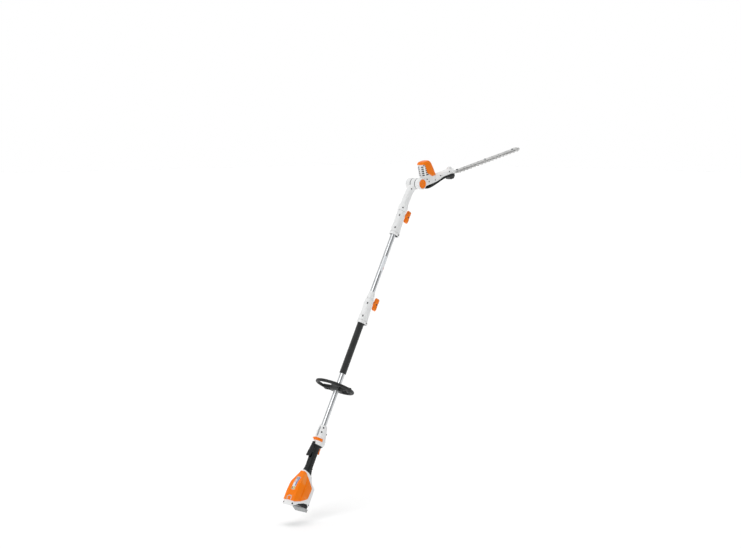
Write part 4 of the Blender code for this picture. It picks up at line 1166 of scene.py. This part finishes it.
def guide_bar():
    low, high = -10.6, -5.0
    bar = prism("blade_bar", rounded(208, 655, -12.5, 12.5, 4), low, high, HEAD, "steel", along="z", soft=0.7)
    cut(bar, *[cylinder("hole", 3.3, -20, 10, HEAD, centre=(u, 0, 0), segments=28) for u in BOLT_U])
    grooves = [prism("groove", rounded(a, b, -3.2, 3.2, 3.0), high - 0.8, high + 2, HEAD, along="z")
               for a, b in ((282, 428), (468, 614))]
    cut(bar, *grooves)
    body(bar, "head", "guide_bar", slot="steel")
    top = high - 0.8
    profile = [(0, top - 0.4), (3.9, top - 0.4), (3.9, top + 0.9), (3.1, top + 1.9), (1.6, top + 2.3),
        (0, top + 2.4)]
    places = [u for u in (262 + 46.5 * k for k in range(9)) if u not in BOLT_U]
    for number, u in enumerate(places, start=1):
        rivet = turned(f"bar_rivet_{number}", profile, HEAD, "zinc", centre=(u, 0, 0), segments=32)
        body(rivet, "head", slot="steel")
    for number, u in enumerate(BOLT_U, start=1):
        top, nut_top = high + 0.3, BLADE_TOP - 2 * BLADE_THICK - 0.6
        profile = [(0, nut_top - 3), (5, nut_top - 3), (5, nut_top), (3, nut_top), (3, top), (5.2, top),
            (5.2, top + 1.6), (4.4, top + 3), (0, top + 3)]
        bolt = turned(f"blade_bolt_{number}", profile, HEAD, "zinc", centre=(u, 0, 0), segments=40)
        cut(bolt, prism("drive", hexagon(2.4, u, 0), top + 1.0, top + 6, HEAD, along="z"))
        body(bolt, "head", f"bar_bolt_{number}", slot="dark_steel")
    tip = [(655.3, -17.5, 0.6), (665, -17.5, 1.5), (670, -13, 2), (670, -8, 2), (666, -4.2, 1.5),
           (655.3, -4.2, 0.6)]
    guard = prism("blade_tip_guard", filleted(tip, 1), -13.5, 13.5, HEAD, "steel", soft=0.9)
    body(guard, "head", "tip_guard", slot="steel")
    screw("tip_screw", (662.0, 0, -4.2), (0, 0, 1), HEAD, "head", radius=2.6, depth=-0.9)


def hinge():
    for side_name, side in SIDES:
        # painted shade: a near-black ring set at the bottom of the groove between the arm's knuckle and each
        # lug, standing in for the shadow in that gap
        shade_ring = turned(f"hinge_shade_ring_{side_name}", [(6.0, side * 13.05), (23.6, side * 13.05),
                                                      (23.6, side * 13.75), (6.0, side * 13.75)], TOOL,
                        "gloss_black", axis="y", centre=HINGE, closed=True, segments=72)
        body(shade_ring, "arm", slot="black")
        outer, inner = side * 42.0, side * 35.5
        profile = [(0, inner), (BUTTON_R, inner), (BUTTON_R, outer - side * 2.0),
            (BUTTON_R - 0.6, outer - side * 0.8), (BUTTON_R - 1.8, outer - side * 0.1),
            (BUTTON_R - 3.0, outer - side * 0.2), (BUTTON_R - 5.0, outer - side * 1.0),
            (0, outer - side * 1.2)]
        button = turned(f"hinge_button_{side_name}", profile, HEAD, "orange", axis="y", segments=96)
        cut(button, *[prism("grip_line", rounded(-9, 9, z, z + 1.2, 0.5, 3), outer - side * 1.6,
            outer + side * 3, HEAD) for z in (-6.6, -0.6, 5.4)])
        body(button, f"release_button_{side_name}", f"release_button_{side_name}", slot="orange")


# ---------------------------------------------------------------- CAD nodes that stay, with finer finishes

def finish_cad_nodes():
    kept = {
        "lower_plug": "black", "upper_plug": "black", "lower_socket": "black", "upper_socket": "black",
        "battery_terminal_block": "black", "controller_board": "board", "trigger_switch": "black",
        "lower_cable": "black", "middle_cable": "black", "motor_can": "dark_steel", "motor_rotor": "copper",
        "motor_fan": "black", "pinion": "steel", "crank_gear": "steel", "hinge_pin": "zinc",
    }
    for name, finish in kept.items():
        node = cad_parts[name]
        node.data.materials.clear()
        node.data.materials.append(MATS[finish])


# ---------------------------------------------------------------- stage, light, camera

BACK = Vector((-0.688, -0.72, 0.089)).normalized()     # from the object to the camera
CAMERA_RIGHT = Vector((0.723, -0.691, 0.0)).normalized()
CAMERA_AT = (-4.7446, -5.315, 1.3984)
LENS, SENSOR = 85.0, 36.0
FLOOR_BELOW, FLOOR_REACH, FLOOR_GLOW = 0.045, 40, 0.10
WALL_BRIGHT, WALL_DIM = 1.0, 0.10
SUNS = (("key", (-0.86, -0.30, 0.52), 1.20, 35.0), ("fill", (0.20, -0.95, 0.40), 0.05, 50.0),
        ("overhead", (0.0, 0.0, 1.0), 0.78, 44.0))


def stage():
    """A white studio: a pale floor, and white walls with a dimmer side where the camera stands."""
    lowest = cad_box[0].z - FLOOR_BELOW
    sides = (-FLOOR_REACH, FLOOR_REACH)
    verts = [(x, y, lowest) for x in sides for y in sides]
    floor = new_piece("floor", verts, [(0, 1, 3, 2)], Matrix.Identity(4))
    n = Nodes("studio_floor")
    n.set("Base Color", n.blend(n.ramp(n.noise(0.8, 2.0), 0.3, 0.7, 0.0, 1.0), linear((250, 250, 250)),
                                linear((255, 255, 255))))
    n.set("Roughness", 0.9)
    n.set("Specular IOR Level", 0.1)
    n.set("Emission Color", (1.0, 1.0, 1.0, 1.0))
    n.set("Emission Strength", FLOOR_GLOW)
    floor.data.materials.append(n.material)
    world = bpy.data.worlds.new("studio")
    bpy.context.scene.world = world
    world.use_nodes = True
    tree = world.node_tree
    ways = tree.nodes.new("ShaderNodeTexCoord")
    toward = tree.nodes.new("ShaderNodeVectorMath")
    toward.operation = "DOT_PRODUCT"
    toward.inputs[1].default_value = BACK
    level = tree.nodes.new("ShaderNodeMapRange")
    level.interpolation_type = "SMOOTHSTEP"
    for socket, value in (("From Min", -0.95), ("From Max", 0.95), ("To Min", WALL_BRIGHT),
            ("To Max", WALL_DIM)):
        level.inputs[socket].default_value = value
    tree.links.new(ways.outputs["Generated"], toward.inputs[0])
    tree.links.new(toward.outputs["Value"], level.inputs["Value"])
    background = tree.nodes["Background"]
    background.inputs["Color"].default_value = (1.0, 1.0, 1.0, 1.0)
    tree.links.new(level.outputs["Result"], background.inputs["Strength"])


def sun(name, toward, strength, spread):
    data = bpy.data.lights.new(name, "SUN")
    data.energy, data.angle = strength, radians(spread)
    made = bpy.data.objects.new(name, data)
    made.rotation_mode = "QUATERNION"
    made.rotation_quaternion = Vector(toward).to_track_quat("Z", "Y")
    bpy.context.scene.collection.objects.link(made)


def camera():
    data = bpy.data.cameras.new("camera")
    data.lens, data.sensor_width = LENS, SENSOR
    data.clip_start, data.clip_end = 0.1, 200.0
    made = bpy.data.objects.new("camera", data)
    back = (BACK - CAMERA_RIGHT * BACK.dot(CAMERA_RIGHT)).normalized()
    turn = Matrix((CAMERA_RIGHT, back.cross(CAMERA_RIGHT), back)).transposed().to_4x4()
    made.matrix_world = Matrix.Translation(CAMERA_AT) @ turn
    bpy.context.scene.collection.objects.link(made)
    bpy.context.scene.camera = made


MATS["print_red"] = plastic("print_red", (190, 70, 60), 0.3, relief=0.05)
camera()
stage()
for settings in SUNS:
    sun(*settings)
bpy.context.scene.view_settings.view_transform = "Standard"

rear_housing()
rear_cover()
sticker()
battery()
grip()
control_housing()
tube("tube_lower", "lower_tube", 300, 859.6, "rear_unit")
tube("tube_middle", "middle_tube", 860, 1269.6, "middle_section")
tube("tube_arm", "arm_tube", 1270, 1400, "arm")
loop_handle()
foam_grip()
tube_label()
sleeve("lower", SLEEVE_LOWER, "rear_unit")
sleeve("upper", SLEEVE_UPPER, "middle_section")
wing_screw("lower", SLEEVE_LOWER)
wing_screw("upper", SLEEVE_UPPER)
collars()
arm()
head_housing()
motor_hood()
under_cover()
blade("blade_upper", "upper_blade", BLADE_TOP, 1)
blade("blade_lower", "lower_blade", BLADE_TOP - BLADE_THICK - 0.3, -1)
guide_bar()
hinge()
finish_cad_nodes()

bpy.context.view_layer.update()
